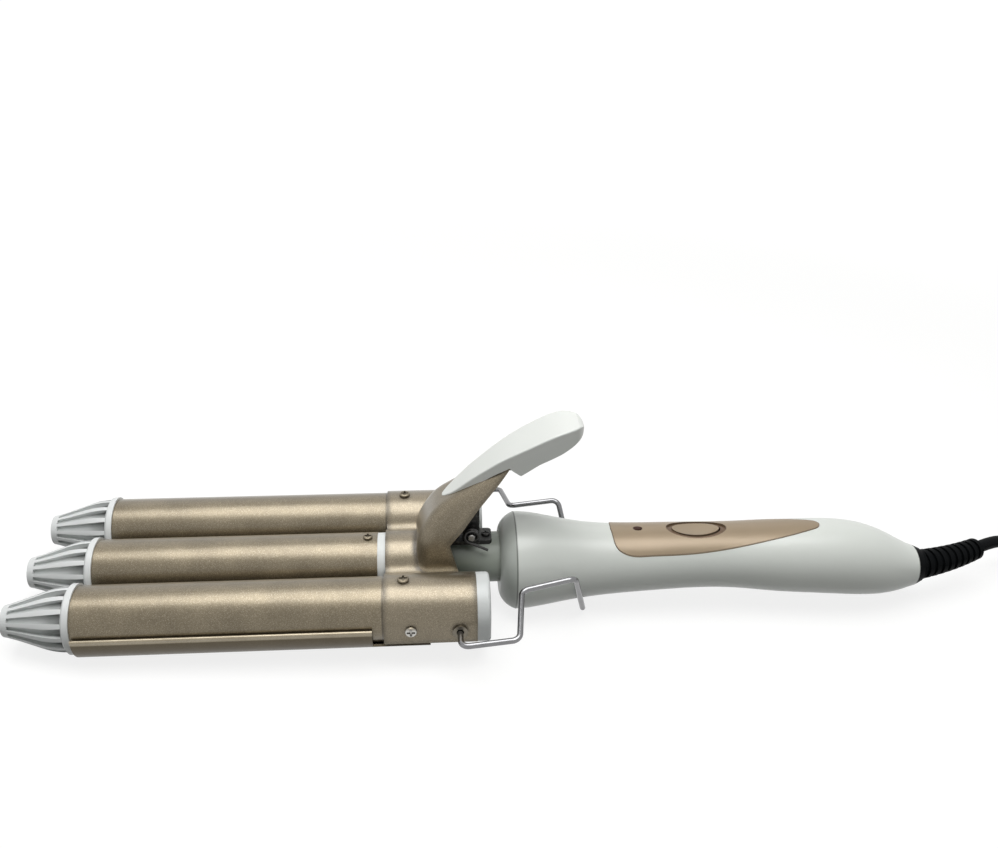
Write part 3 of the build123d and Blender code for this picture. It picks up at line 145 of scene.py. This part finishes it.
cord_line = bpy.data.curves.new("cord", "CURVE")
cord_line.dimensions = "3D"
cord_line.bevel_depth = cord_diameter / 2
cord_line.bevel_resolution = 6
cord_line.resolution_u = 6
cord_line.use_fill_caps = True
spline = cord_line.splines.new("NURBS")
spline.points.add(len(cord_points) - 1)
spline.points.foreach_set("co", np.hstack([cord_points, np.ones((len(cord_points), 1))]).ravel())
spline.order_u = 3
spline.use_endpoint_u = True
cord = bpy.data.objects.new("mains_cord", cord_line)
bpy.context.scene.collection.objects.link(cord)


class Tone:
    """A number or colour that varies over a surface. Arithmetic on it adds Math nodes."""

    def __init__(self, finish, socket):
        self.finish = finish
        self.socket = socket

    def math(self, operation, *values):
        return self.finish.add("ShaderNodeMath", {"operation": operation}, dict(enumerate(values)))

    def __add__(self, other):
        return self.math("ADD", self, other)

    def __radd__(self, other):
        return self.math("ADD", other, self)

    def __sub__(self, other):
        return self.math("SUBTRACT", self, other)

    def __rsub__(self, other):
        return self.math("SUBTRACT", other, self)

    def __mul__(self, other):
        return self.math("MULTIPLY", self, other)

    def __rmul__(self, other):
        return self.math("MULTIPLY", other, self)

    def __truediv__(self, other):
        return self.math("DIVIDE", self, other)

    def __pow__(self, other):
        return self.math("POWER", self, other)

    def step(self, low, high):
        """0 below low, 1 above high, and smooth between them."""
        return self.finish.add("ShaderNodeMapRange", {"interpolation_type": "SMOOTHSTEP"},
                               {"Value": self, "From Min": low, "From Max": high})


class Finish:
    """A surface finish: one Principled shader, and the nodes that vary it on Object coordinates."""

    def __init__(self, name, **constants):
        self.material = bpy.data.materials.new(name)
        self.material.use_nodes = True
        self.tree = self.material.node_tree
        self.shader = self.tree.nodes["Principled BSDF"]
        for socket, value in constants.items():
            self.shader.inputs[socket.replace("_", " ")].default_value = value
        self.place = self.add("ShaderNodeTexCoord", output="Object")

    def add(self, kind, settings=None, inputs=None, output=0):
        """Adds one node: its settings first, then the values or links of its sockets."""
        node = self.tree.nodes.new(kind)
        for name, value in (settings or {}).items():
            setattr(node, name, value)
        for name, value in (inputs or {}).items():
            if isinstance(value, Tone):
                self.tree.links.new(value.socket, node.inputs[name])
            else:
                node.inputs[name].default_value = value
        return Tone(self, node.outputs[output])

    def noise(self, size, detail=2.0):
        """Cloudy noise from 0 to 1 whose lumps are about that many millimetres across."""
        return self.add("ShaderNodeTexNoise", {}, {
            "Vector": self.place, "Scale": 1 / (size * MM), "Detail": detail, "Roughness": 0.5})

    def flecks(self, size):
        """Random tone from 0 to 1 for each cell of about that many millimetres."""
        cells = self.add("ShaderNodeTexVoronoi", {}, {"Vector": self.place, "Scale": 1 / (size * MM)},
                         output="Color")
        return self.add("ShaderNodeSeparateColor", {}, {"Color": cells})

    def blend(self, share, first, second):
        """One colour where share is 0, the other where it is 1."""
        return self.add("ShaderNodeMix", {"data_type": "RGBA"}, {
            0: share, 6: as_color(first), 7: as_color(second)}, output=2)

    def along(self, axis):
        """The X, Y or Z coordinate in metres."""
        return self.add("ShaderNodeSeparateXYZ", {}, {0: self.place}, output=axis)

    def station(self):
        """The X coordinate on the iron's own axes, in millimetres: on_table undone."""
        from_middle = self.along(0) / MM + tool_middle
        from_height = self.along(2) / MM - lie_height
        return from_middle * np.cos(lie) + from_height * np.sin(lie)

    def rise(self):
        """The Z coordinate on the iron's own axes, in millimetres: on_table undone."""
        from_middle = self.along(0) / MM + tool_middle
        from_height = self.along(2) / MM - lie_height
        return from_height * np.cos(lie) - from_middle * np.sin(lie)

    def near(self, value, middle, reach):
        """1 where value is at middle, falling smoothly to 0 at reach to either side of it."""
        off = value - middle
        return 1 - off.math("ABSOLUTE", off).step(0, reach)

    def edges(self, reach):
        """1 on the part's edges and in its inner corners, and 0 beyond reach, in millimetres: where
        a normal rounded over that radius turns away from the face's own."""
        rounded = self.add("ShaderNodeBevel", {"samples": 8}, {"Radius": reach * MM})
        normal = self.add("ShaderNodeNewGeometry", output="Normal")
        turned = self.add("ShaderNodeVectorMath", {"operation": "DOT_PRODUCT"}, {0: rounded, 1: normal},
                          output="Value")
        return 1 - turned.step(0.90, 0.995)

    def give(self, **tones):
        """Feeds tones to the shader's sockets."""
        for socket, value in tones.items():
            self.tree.links.new(value.socket, self.shader.inputs[socket.replace("_", " ")])

    def bump(self, height, depth, soft=0.0):
        """Raises the surface by height, which runs from 0 to 1, times depth in millimetres. Edges
        and inner corners are shaded as rounded to the soft radius, in millimetres."""
        relief = {"Height": height, "Distance": depth * MM}
        if soft:
            relief["Normal"] = self.add("ShaderNodeBevel", {"samples": 8}, {"Radius": soft * MM})
        self.give(Normal=self.add("ShaderNodeBump", {}, relief))


def as_color(value):
    """A tone as it is, or three numbers as an opaque colour."""
    return value if isinstance(value, Tone) else (*value, 1.0)


def dress(finish, *names):
    """Gives a finish to CAD nodes, in place of the one they have."""
    for name in names:
        mesh = bpy.data.objects[name].data
        mesh.materials.clear()
        mesh.materials.append(finish.material)


black_pvc = Finish("black_pvc", Specular_IOR_Level=0.02)
dust = black_pvc.noise(6, detail=4)
black_pvc.give(Base_Color=black_pvc.blend(dust, (0.003, 0.0035, 0.004), (0.008, 0.0085, 0.009)),
               Roughness=0.36 + 0.16 * dust)
black_pvc.bump(black_pvc.noise(0.5), 0.02)
cord_line.materials.append(black_pvc.material)
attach(cord, "handle")
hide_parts("power_cord", "cord_coil")

# ------------------------------------------------------------------ table and lights
# A wide pale table under a long soft lamp above the front edge, with weaker soft lamps behind and
# at the left. The table and the room are white to the eye and in reflections, and grey to bounce.
world = bpy.data.worlds.new("room")
bpy.context.scene.world = world
world.use_nodes = True
room = world.node_tree
seen = room.nodes.new("ShaderNodeLightPath")
to_eye = room.nodes.new("ShaderNodeMath")
to_eye.operation = "MAXIMUM"
room.links.new(seen.outputs["Is Camera Ray"], to_eye.inputs[0])
room.links.new(seen.outputs["Is Transmission Ray"], to_eye.inputs[1])
to_metal = room.nodes.new("ShaderNodeMath")
to_metal.operation = "MAXIMUM"
room.links.new(to_eye.outputs[0], to_metal.inputs[0])
room.links.new(seen.outputs["Is Glossy Ray"], to_metal.inputs[1])
room_light = room.nodes.new("ShaderNodeMix")
room_light.data_type = "RGBA"
room_light.inputs[6].default_value = (0.17, 0.175, 0.17, 1)
room_light.inputs[7].default_value = (1, 1, 1, 1)
room.links.new(to_metal.outputs[0], room_light.inputs[0])
room.links.new(room_light.outputs[2], room.nodes["Background"].inputs["Color"])

tabletop = Finish("tabletop", Base_Color=(0.22, 0.22, 0.215, 1), Roughness=0.9, Specular_IOR_Level=0.0)
ray = tabletop.add("ShaderNodeLightPath", output="Is Camera Ray")
glossy = tabletop.add("ShaderNodeLightPath", output="Is Glossy Ray")
clear = tabletop.add("ShaderNodeLightPath", output="Is Transmission Ray")
glow = ray.math("MAXIMUM", ray, ray.math("MAXIMUM", glossy, clear))
tabletop.shader.inputs["Emission Strength"].default_value = 1.0
table_low, table_high = -4.0, 5.0
table_drop = 0.4 * MM
far_off = (tabletop.along(0) ** 2 + tabletop.along(1) ** 2).step(0.15, 0.8)
white = tabletop.blend(far_off, (0.82, 0.82, 0.82), (1, 1, 1))
tabletop.give(Emission_Color=tabletop.blend(glow, (0, 0, 0), white))
table_mesh = bpy.data.meshes.new("tabletop")
table_corners = [(table_low, table_low, -table_drop), (table_high, table_low, -table_drop),
                 (table_high, table_high, -table_drop), (table_low, table_high, -table_drop)]
table_mesh.from_pydata(table_corners, [], [(0, 1, 2, 3)])
table = bpy.data.objects.new("tabletop", table_mesh)
bpy.context.scene.collection.objects.link(table)
table_mesh.materials.append(tabletop.material)


def soft_lamp(name, place, aim, size, watts):
    """A rectangular lamp at a place, aimed at a point."""
    light = bpy.data.lights.new(name, "AREA")
    light.shape = "RECTANGLE"
    light.size, light.size_y = size
    light.energy = watts
    lamp = bpy.data.objects.new(name, light)
    bpy.context.scene.collection.objects.link(lamp)
    lamp.location = place
    lamp.rotation_euler = (Vector(aim) - Vector(place)).to_track_quat("-Z", "Y").to_euler()


soft_lamp("long_lamp", (-0.06, -0.08, 0.95), (0, 0, 0.02), (1.0, 0.62), 9.3)
soft_lamp("back_lamp", (-0.07, 0.90, 0.80), (0, 0, 0.02), (1.2, 0.50), 0.9)
soft_lamp("left_lamp", (-1.07, -0.50, 0.50), (-0.07, 0, 0.03), (0.6, 0.6), 0.4)

# ------------------------------------------------------------------ barrels
# Three drawn aluminium tubes, 25 mm across, sprayed with a champagne-bronze heat coating. The
# middle one is plugged onto the neck, and the bracket holds the outer two.
def bronze_coating(name, base, deep, seams=(), soft=0.0, shade_below=None):
    """Champagne-bronze flake paint: two tones in slow clouds, lighter and darker flecks, a fine
    grain, a thin dark line of painted shade at each seam station, and a duller tone below a height as
    painted shade."""
    lacquer = 0.75
    bright_fleck = (0.55, 0.48, 0.37)
    dark_fleck = (0.07, 0.055, 0.036)
    seam_shade = (0.03, 0.024, 0.016)
    shade_tone = (0.05, 0.039, 0.025)
    coating = Finish(name, Metallic=0.75, Coat_Weight=lacquer, Coat_Roughness=0.30,
                     Specular_IOR_Level=0.2)
    fleck = coating.flecks(0.16)
    tone = coating.blend(coating.noise(14, detail=3).step(0.3, 0.7), deep, base)
    tone = coating.blend((fleck - 0.70).step(0, 0.25) * 0.30, tone, bright_fleck)
    tone = coating.blend((0.28 - fleck).step(0, 0.25) * 0.35, tone, dark_fleck)
    # painted shade: a thin dark line at each seam station
    for seam in seams:
        tone = coating.blend(coating.near(coating.station(), seam, 0.55) * 0.75, tone, seam_shade)
    # painted shade below a height: a darker tone, and no lacquer there
    if shade_below is not None:
        under_shade = (shade_below - coating.rise()).step(0, 0.8)
        tone = coating.blend(under_shade * 0.75, tone, shade_tone)
        coating.give(Coat_Weight=lacquer - lacquer * under_shade)
    coating.give(Base_Color=tone, Roughness=0.27 + 0.10 * coating.noise(3) + 0.06 * fleck)
    coating.bump(coating.noise(0.5, detail=3), 0.014, soft)
    return coating


# The barrels get a thin line of painted shade at the bracket's front edge.
bracket_front = 114.1
barrel_bronze = bronze_coating("barrel_bronze", (0.170, 0.139, 0.087), (0.135, 0.109, 0.066),
                               seams=(bracket_front,))
dress(barrel_bronze, "middle_barrel", "near_barrel", "far_barrel")

# ------------------------------------------------------------------ lower shells
# One folded aluminium sheet with three troughs, screwed up into the middle barrel, in the barrels'
# coating. Its outer edges are rolled into beads. It is painted lighter than the barrels as a highlight
# on the beads, and darker and without lacquer below them as shade.
bead_bottom = -1.0
# Painted highlight and shade: a lighter base for the bright beads, and a darker tone below them.
shell_bronze = bronze_coating("shell_bronze", (0.32, 0.272, 0.190), (0.27, 0.227, 0.156),
                              shade_below=bead_bottom)
dress(shell_bronze, "lower_shells")

# ------------------------------------------------------------------ bracket
# One pressing over the three barrels, with the lever's horn drawn up out of its middle arch and
# screwed to the outer barrels. Its bends are soft, and its coating is that of the barrels.
bracket_bronze = bronze_coating("bracket_bronze", (0.190, 0.158, 0.106), (0.154, 0.127, 0.082), soft=3.5)
dress(bracket_bronze, "bracket")

# ------------------------------------------------------------------ end caps
# Grey-white heat-proof mouldings plugged into the rear of the outer barrels. Their rounded rims
# stand out behind the bracket and close the tubes.
def moulding(name, base, deep, gloss, seams=()):
    """White moulded plastic: very slow change of tone, light haze, a faint moulded waviness, and a
    thin dark line of painted shade in the seam at each station."""
    seam_shade = (0.06, 0.063, 0.055)
    plastic = Finish(name, Coat_Weight=0.15, Coat_Roughness=0.2)
    tone = plastic.blend(plastic.noise(25), deep, base)
    # painted shade: a thin dark line at each seam station
    for seam in seams:
        tone = plastic.blend(plastic.near(plastic.station(), seam, 0.5) * 0.8, tone, seam_shade)
    plastic.give(Base_Color=tone, Roughness=gloss + 0.08 * plastic.noise(4, detail=4))
    plastic.bump(plastic.noise(2.5), 0.015)
    return plastic


cap_white = moulding("cap_white", (0.66, 0.68, 0.675), (0.60, 0.62, 0.61), 0.36)
dress(cap_white, "near_end_cap", "far_end_cap")

# ------------------------------------------------------------------ collar and neck
# One heat-proof moulding that carries the middle barrel and is clamped in the handle. It is white
# at the collar, and behind the bracket it is painted dark grey as shade under the horn and the pad.
collar_rear = 118
shade_from = 124
darkest_at = 138
handle_front = 162
neck_white = Finish("neck_white", Coat_Weight=0.1, Coat_Roughness=0.3)
station = neck_white.station()
unshaded_white = neck_white.blend(neck_white.noise(10), (0.68, 0.70, 0.69), (0.74, 0.76, 0.75))
# Painted shade behind the bracket: darkest under the horn and the pad, lighter towards the handle.
neck_shade = neck_white.blend(station.step(darkest_at, handle_front),
                          (0.11, 0.125, 0.10), (0.33, 0.36, 0.315))
neck_white.give(Base_Color=neck_white.blend(station.step(collar_rear, shade_from), unshaded_white, neck_shade),
                Roughness=0.42 + 0.1 * neck_white.noise(3, detail=3))
dress(neck_white, "neck")

# ------------------------------------------------------------------ noses
# Heat-proof white mouldings plugged into the front of the barrels. Their ribs stand on an inner
# cone, which is painted dark as shade between them, most of all behind, against the ring.
barrel_pitch = 30.0
rib_root_radius = 12.2
rib_root_slope = 0.245
nose_white = Finish("nose_white", Coat_Weight=0.1, Coat_Roughness=0.25)
ahead_of_tube = -1 * nose_white.station()
sideways = nose_white.along(1) / MM
across_tube = sideways.math("WRAP", sideways, barrel_pitch / 2, -barrel_pitch / 2)
from_axis = (across_tube ** 2 + nose_white.rise() ** 2) ** 0.5
# Painted shade on the cone between the ribs, darkest behind, against the ring.
recess = (rib_root_radius - rib_root_slope * ahead_of_tube - from_axis).step(0, 0.9)
recess_shade = nose_white.blend(ahead_of_tube.step(2, 16), (0.26, 0.27, 0.265), (0.64, 0.66, 0.65))
unshaded_white = nose_white.blend(nose_white.noise(12), (0.70, 0.715, 0.71), (0.76, 0.775, 0.77))
nose_white.give(Base_Color=nose_white.blend(recess, unshaded_white, recess_shade),
                Roughness=0.38 + 0.1 * nose_white.noise(3))
dress(nose_white, "middle_nose", "near_nose", "far_nose")

# ------------------------------------------------------------------ handle
# Moulded shell with a screwed underside cover, in a glossy warm white. The seams of the front cap
# and of the end ring are painted dark as shade.
front_cap_seam, end_ring_seam = 167.0, 339.4
handle_white = moulding("handle_white", (0.715, 0.74, 0.70), (0.675, 0.70, 0.66), 0.30,
                        seams=(front_cap_seam, end_ring_seam))
dress(handle_white, "handle_shell", "underside_cover")

# ------------------------------------------------------------------ front cap
# White moulding pushed into the handle's rim round the neck, painted darker grey as shade from the
# barrels and bracket in front of it. It closes the shell in front, with a thin seam of painted shade
# round its edge.
# Painted shade: a darker grey base than the handle's, and a dark line at the seam.
front_white = moulding("front_white", (0.50, 0.525, 0.49), (0.42, 0.445, 0.41), 0.36,
                       seams=(front_cap_seam,))
dress(front_white, "front_cap")

# ------------------------------------------------------------------ thumb pad
# White moulding clipped over the horn and held by a screw from below. A thumb presses it down to
# lift the outer barrels.
pad_white = moulding("pad_white", (0.77, 0.785, 0.755), (0.73, 0.75, 0.715), 0.32)
dress(pad_white, "thumb_pad")

# ------------------------------------------------------------------ wire stand
# One bail of 2.3 mm spring wire, bent, chromed and sprung into the two eyelets, in which it turns.
# Fingers leave faint smears on it.
chrome = Finish("chrome_wire", Metallic=1.0)
smear = chrome.noise(5, detail=3)
chrome.give(Base_Color=chrome.blend(smear, (0.25, 0.25, 0.255), (0.18, 0.18, 0.185)),
            Roughness=0.14 + 0.12 * smear)
dress(chrome, "wire_stand")

# ------------------------------------------------------------------ eyelets
# Turned nickel-plated bushes riveted through the bracket's skirts, one on each side, for the ends
# of the wire stand. The heat has tarnished them.
nickel = Finish("tarnished_nickel", Metallic=1.0)
tarnish = nickel.noise(1.2, detail=3)
nickel.give(Base_Color=nickel.blend(tarnish, (0.13, 0.115, 0.09), (0.22, 0.20, 0.165)),
            Roughness=0.25 + 0.15 * tarnish)
dress(nickel, "eyelets")

# ------------------------------------------------------------------ screws of the barrels
# Cross-head screws. Those on top of the iron are bronzed to go with the coating, and the two in
# the bracket's skirts are bright. Their crosses are painted dark as shade.
screw_metal = Finish("screw_metal", Metallic=1.0)
wear = screw_metal.noise(0.6, detail=3)
bronzed = screw_metal.blend(wear, (0.17, 0.145, 0.105), (0.26, 0.225, 0.165))
bright = screw_metal.blend(wear, (0.45, 0.44, 0.42), (0.60, 0.59, 0.56))
skirt_screw_top, top_screw_foot = 19, 21
on_top = (screw_metal.along(2) / MM).step(skirt_screw_top, top_screw_foot)
metal = screw_metal.blend(on_top, bright, bronzed)
# The cross recesses are painted dark as shade.
screw_metal.give(Base_Color=screw_metal.blend(screw_metal.edges(0.45), metal, (0.03, 0.028, 0.024)),
                 Roughness=0.28 + 0.16 * wear)
dress(screw_metal, "barrel_screw", "saddle_screw", "bracket_screws")

# ------------------------------------------------------------------ hinge
# Blackened steel stampings: a post screwed to the neck and a yoke under the horn. They turn on a
# plain steel pin, whose rubbed end is bright.
blackened = Finish("blackened_steel", Metallic=0.8)
scuff = blackened.noise(1.0, detail=4)
worn = scuff.step(0.45, 0.8)
blackened.give(Base_Color=blackened.blend(worn, (0.025, 0.025, 0.024), (0.09, 0.088, 0.082)),
               Roughness=0.35 + 0.2 * scuff)
dress(blackened, "hinge_post", "hinge_post_screws", "hinge_yoke")
steel = Finish("plain_steel", Metallic=1.0)
grain = steel.noise(0.7, detail=3)
steel.give(Base_Color=steel.blend(grain, (0.16, 0.155, 0.15), (0.30, 0.295, 0.28)),
           Roughness=0.26 + 0.16 * grain)
dress(steel, "hinge_pin", "cover_screws", "pad_screw")

# ------------------------------------------------------------------ lever spring
# Torsion spring of dark oiled wire, wound round the hinge pin. One leg lies up the horn and the
# other on the neck.
oiled = Finish("oiled_spring", Metallic=0.9)
oil = oiled.noise(1.5, detail=3)
oiled.give(Base_Color=oiled.blend(oil, (0.03, 0.03, 0.03), (0.08, 0.078, 0.075)),
           Roughness=0.3 + 0.2 * oil)
dress(oiled, "lever_spring")

# ------------------------------------------------------------------ top panel and button
# Moulded cover strip clipped into the handle's top, and the button in it, both lacquered in a warm
# gold, painted dark brown as shade along their edges and in their inner corners.
gold = Finish("gold_lacquer", Metallic=0.30, Coat_Weight=0.2, Coat_Roughness=0.2)
tone = gold.blend(gold.noise(12), (0.255, 0.193, 0.122), (0.30, 0.229, 0.148))
# Painted shade: dark brown along the edges and in the inner corners.
gold.give(Base_Color=gold.blend(gold.edges(0.7), tone, (0.10, 0.058, 0.03)),
          Roughness=0.34 + 0.08 * gold.noise(1.2, detail=3))
gold.bump(gold.noise(0.5), 0.008)
dress(gold, "top_panel", "power_button")

# ------------------------------------------------------------------ button bezel
# Moulded ring in a darker bronze lacquer, pressed into the panel. It frames the button with a
# narrow gap.
bezel_bronze = Finish("bezel_bronze", Metallic=0.5, Coat_Weight=0.2)
cloud = bezel_bronze.noise(3)
bezel_bronze.give(Base_Color=bezel_bronze.blend(cloud, (0.09, 0.052, 0.027), (0.14, 0.085, 0.048)),
                  Roughness=0.35 + 0.1 * cloud)
dress(bezel_bronze, "button_bezel")

# ------------------------------------------------------------------ lamp
# Smoked window let into the panel in front of the button, and the red lamp that is soldered to
# the board below it.
smoked = Finish("smoked_lens", Specular_IOR_Level=0.1)
haze = smoked.noise(0.8)
smoked.give(Base_Color=smoked.blend(haze, (0.03, 0.012, 0.008), (0.06, 0.022, 0.014)),
            Roughness=0.3 + 0.1 * haze)
dress(smoked, "lamp_lens")
red_lamp = Finish("red_lamp", Coat_Weight=0.4)
haze = red_lamp.noise(0.8)
red_lamp.give(Base_Color=red_lamp.blend(haze, (0.40, 0.02, 0.015), (0.50, 0.05, 0.03)),
              Roughness=0.2 + 0.1 * haze)
dress(red_lamp, "status_led")

# ------------------------------------------------------------------ circuit board
# Green glass-fibre board screwed to ledges in the shell, with copper tracks under its varnish and
# black moulded components soldered to it.
laminate = Finish("green_laminate", Coat_Weight=0.4, Coat_Roughness=0.15)
tracks = laminate.noise(1.8, detail=0).step(0.52, 0.56)
laminate.give(Base_Color=laminate.blend(tracks, (0.012, 0.09, 0.03), (0.03, 0.16, 0.06)),
              Roughness=0.35 + 0.15 * laminate.noise(2))
dress(laminate, "circuit_board")
black_case = Finish("component_cases")
cloud = black_case.noise(1.5, detail=3)
black_case.give(Base_Color=black_case.blend(cloud, (0.015, 0.015, 0.016), (0.035, 0.035, 0.036)),
                Roughness=0.45 + 0.2 * cloud)
dress(black_case, "board_components")

# ------------------------------------------------------------------ switch
# Grey moulded body soldered to the board, and its plunger, which the button pushes down.
grey_moulding = Finish("grey_moulding")
cloud = grey_moulding.noise(2, detail=3)
grey_moulding.give(Base_Color=grey_moulding.blend(cloud, (0.065, 0.065, 0.063), (0.095, 0.095, 0.092)),
                   Roughness=0.42 + 0.15 * cloud)
dress(grey_moulding, "switch_body", "switch_plunger")

# ------------------------------------------------------------------ heaters
# White ceramic bars, one in each barrel, clamped between half-round aluminium spreaders that
# fill the tube.
ceramic = Finish("ceramic")
cloud = ceramic.noise(2, detail=4)
ceramic.give(Base_Color=ceramic.blend(cloud, (0.62, 0.60, 0.55), (0.72, 0.70, 0.65)),
             Roughness=0.5 + 0.2 * cloud)
dress(ceramic, "middle_heater", "near_heater", "far_heater")
extruded = Finish("extruded_aluminium", Metallic=1.0)
streak = extruded.noise(1.5, detail=3)
extruded.give(Base_Color=extruded.blend(streak, (0.48, 0.48, 0.49), (0.60, 0.60, 0.61)),
              Roughness=0.3 + 0.2 * streak)
dress(extruded, "middle_heat_spreaders", "near_heat_spreaders", "far_heat_spreaders")

# ------------------------------------------------------------------ leads
# Red silicone leads run from the board to the heaters, and the mains cord's two cores, one brown
# and one blue, run from the strain relief to the board.
silicone = Finish("red_silicone")
cloud = silicone.noise(4)
silicone.give(Base_Color=silicone.blend(cloud, (0.42, 0.02, 0.012), (0.52, 0.04, 0.02)),
              Roughness=0.5 + 0.15 * cloud)
dress(silicone, "heater_leads")
cores = Finish("mains_cores")
cloud = cores.noise(4)
side = (cores.along(1) / MM).step(-0.1, 0.1)
brown_core = (0.14, 0.055, 0.025)
blue_core = (0.03, 0.12, 0.42)
cores.give(Base_Color=cores.blend(side, brown_core, blue_core), Roughness=0.4 + 0.15 * cloud)
dress(cores, "mains_leads")

# ------------------------------------------------------------------ cord's ends and tie
# The ribbed strain relief and the plug are moulded onto the cord in the same black PVC, and the
# end ring is pressed over the relief's root. A soft black strap holds the coil.
dress(black_pvc, "strain_relief", "end_ring", "power_plug")
soft_strap = Finish("soft_strap", Specular_IOR_Level=0.2)
weave = soft_strap.noise(0.6, detail=3)
soft_strap.give(Base_Color=soft_strap.blend(weave, (0.008, 0.008, 0.008), (0.02, 0.02, 0.02)),
                Roughness=0.6 + 0.2 * weave)
soft_strap.bump(weave, 0.03)
dress(soft_strap, "cord_tie")

# ------------------------------------------------------------------ plug pins
# Two round pins of nickelled brass, insert-moulded in the plug, and a little scratched by
# sockets.
pin_nickel = Finish("pin_nickel", Metallic=1.0)
scratch = pin_nickel.noise(0.7, detail=4)
pin_nickel.give(Base_Color=pin_nickel.blend(scratch, (0.52, 0.50, 0.45), (0.64, 0.62, 0.57)),
                Roughness=0.2 + 0.15 * scratch)
dress(pin_nickel, "plug_pins")
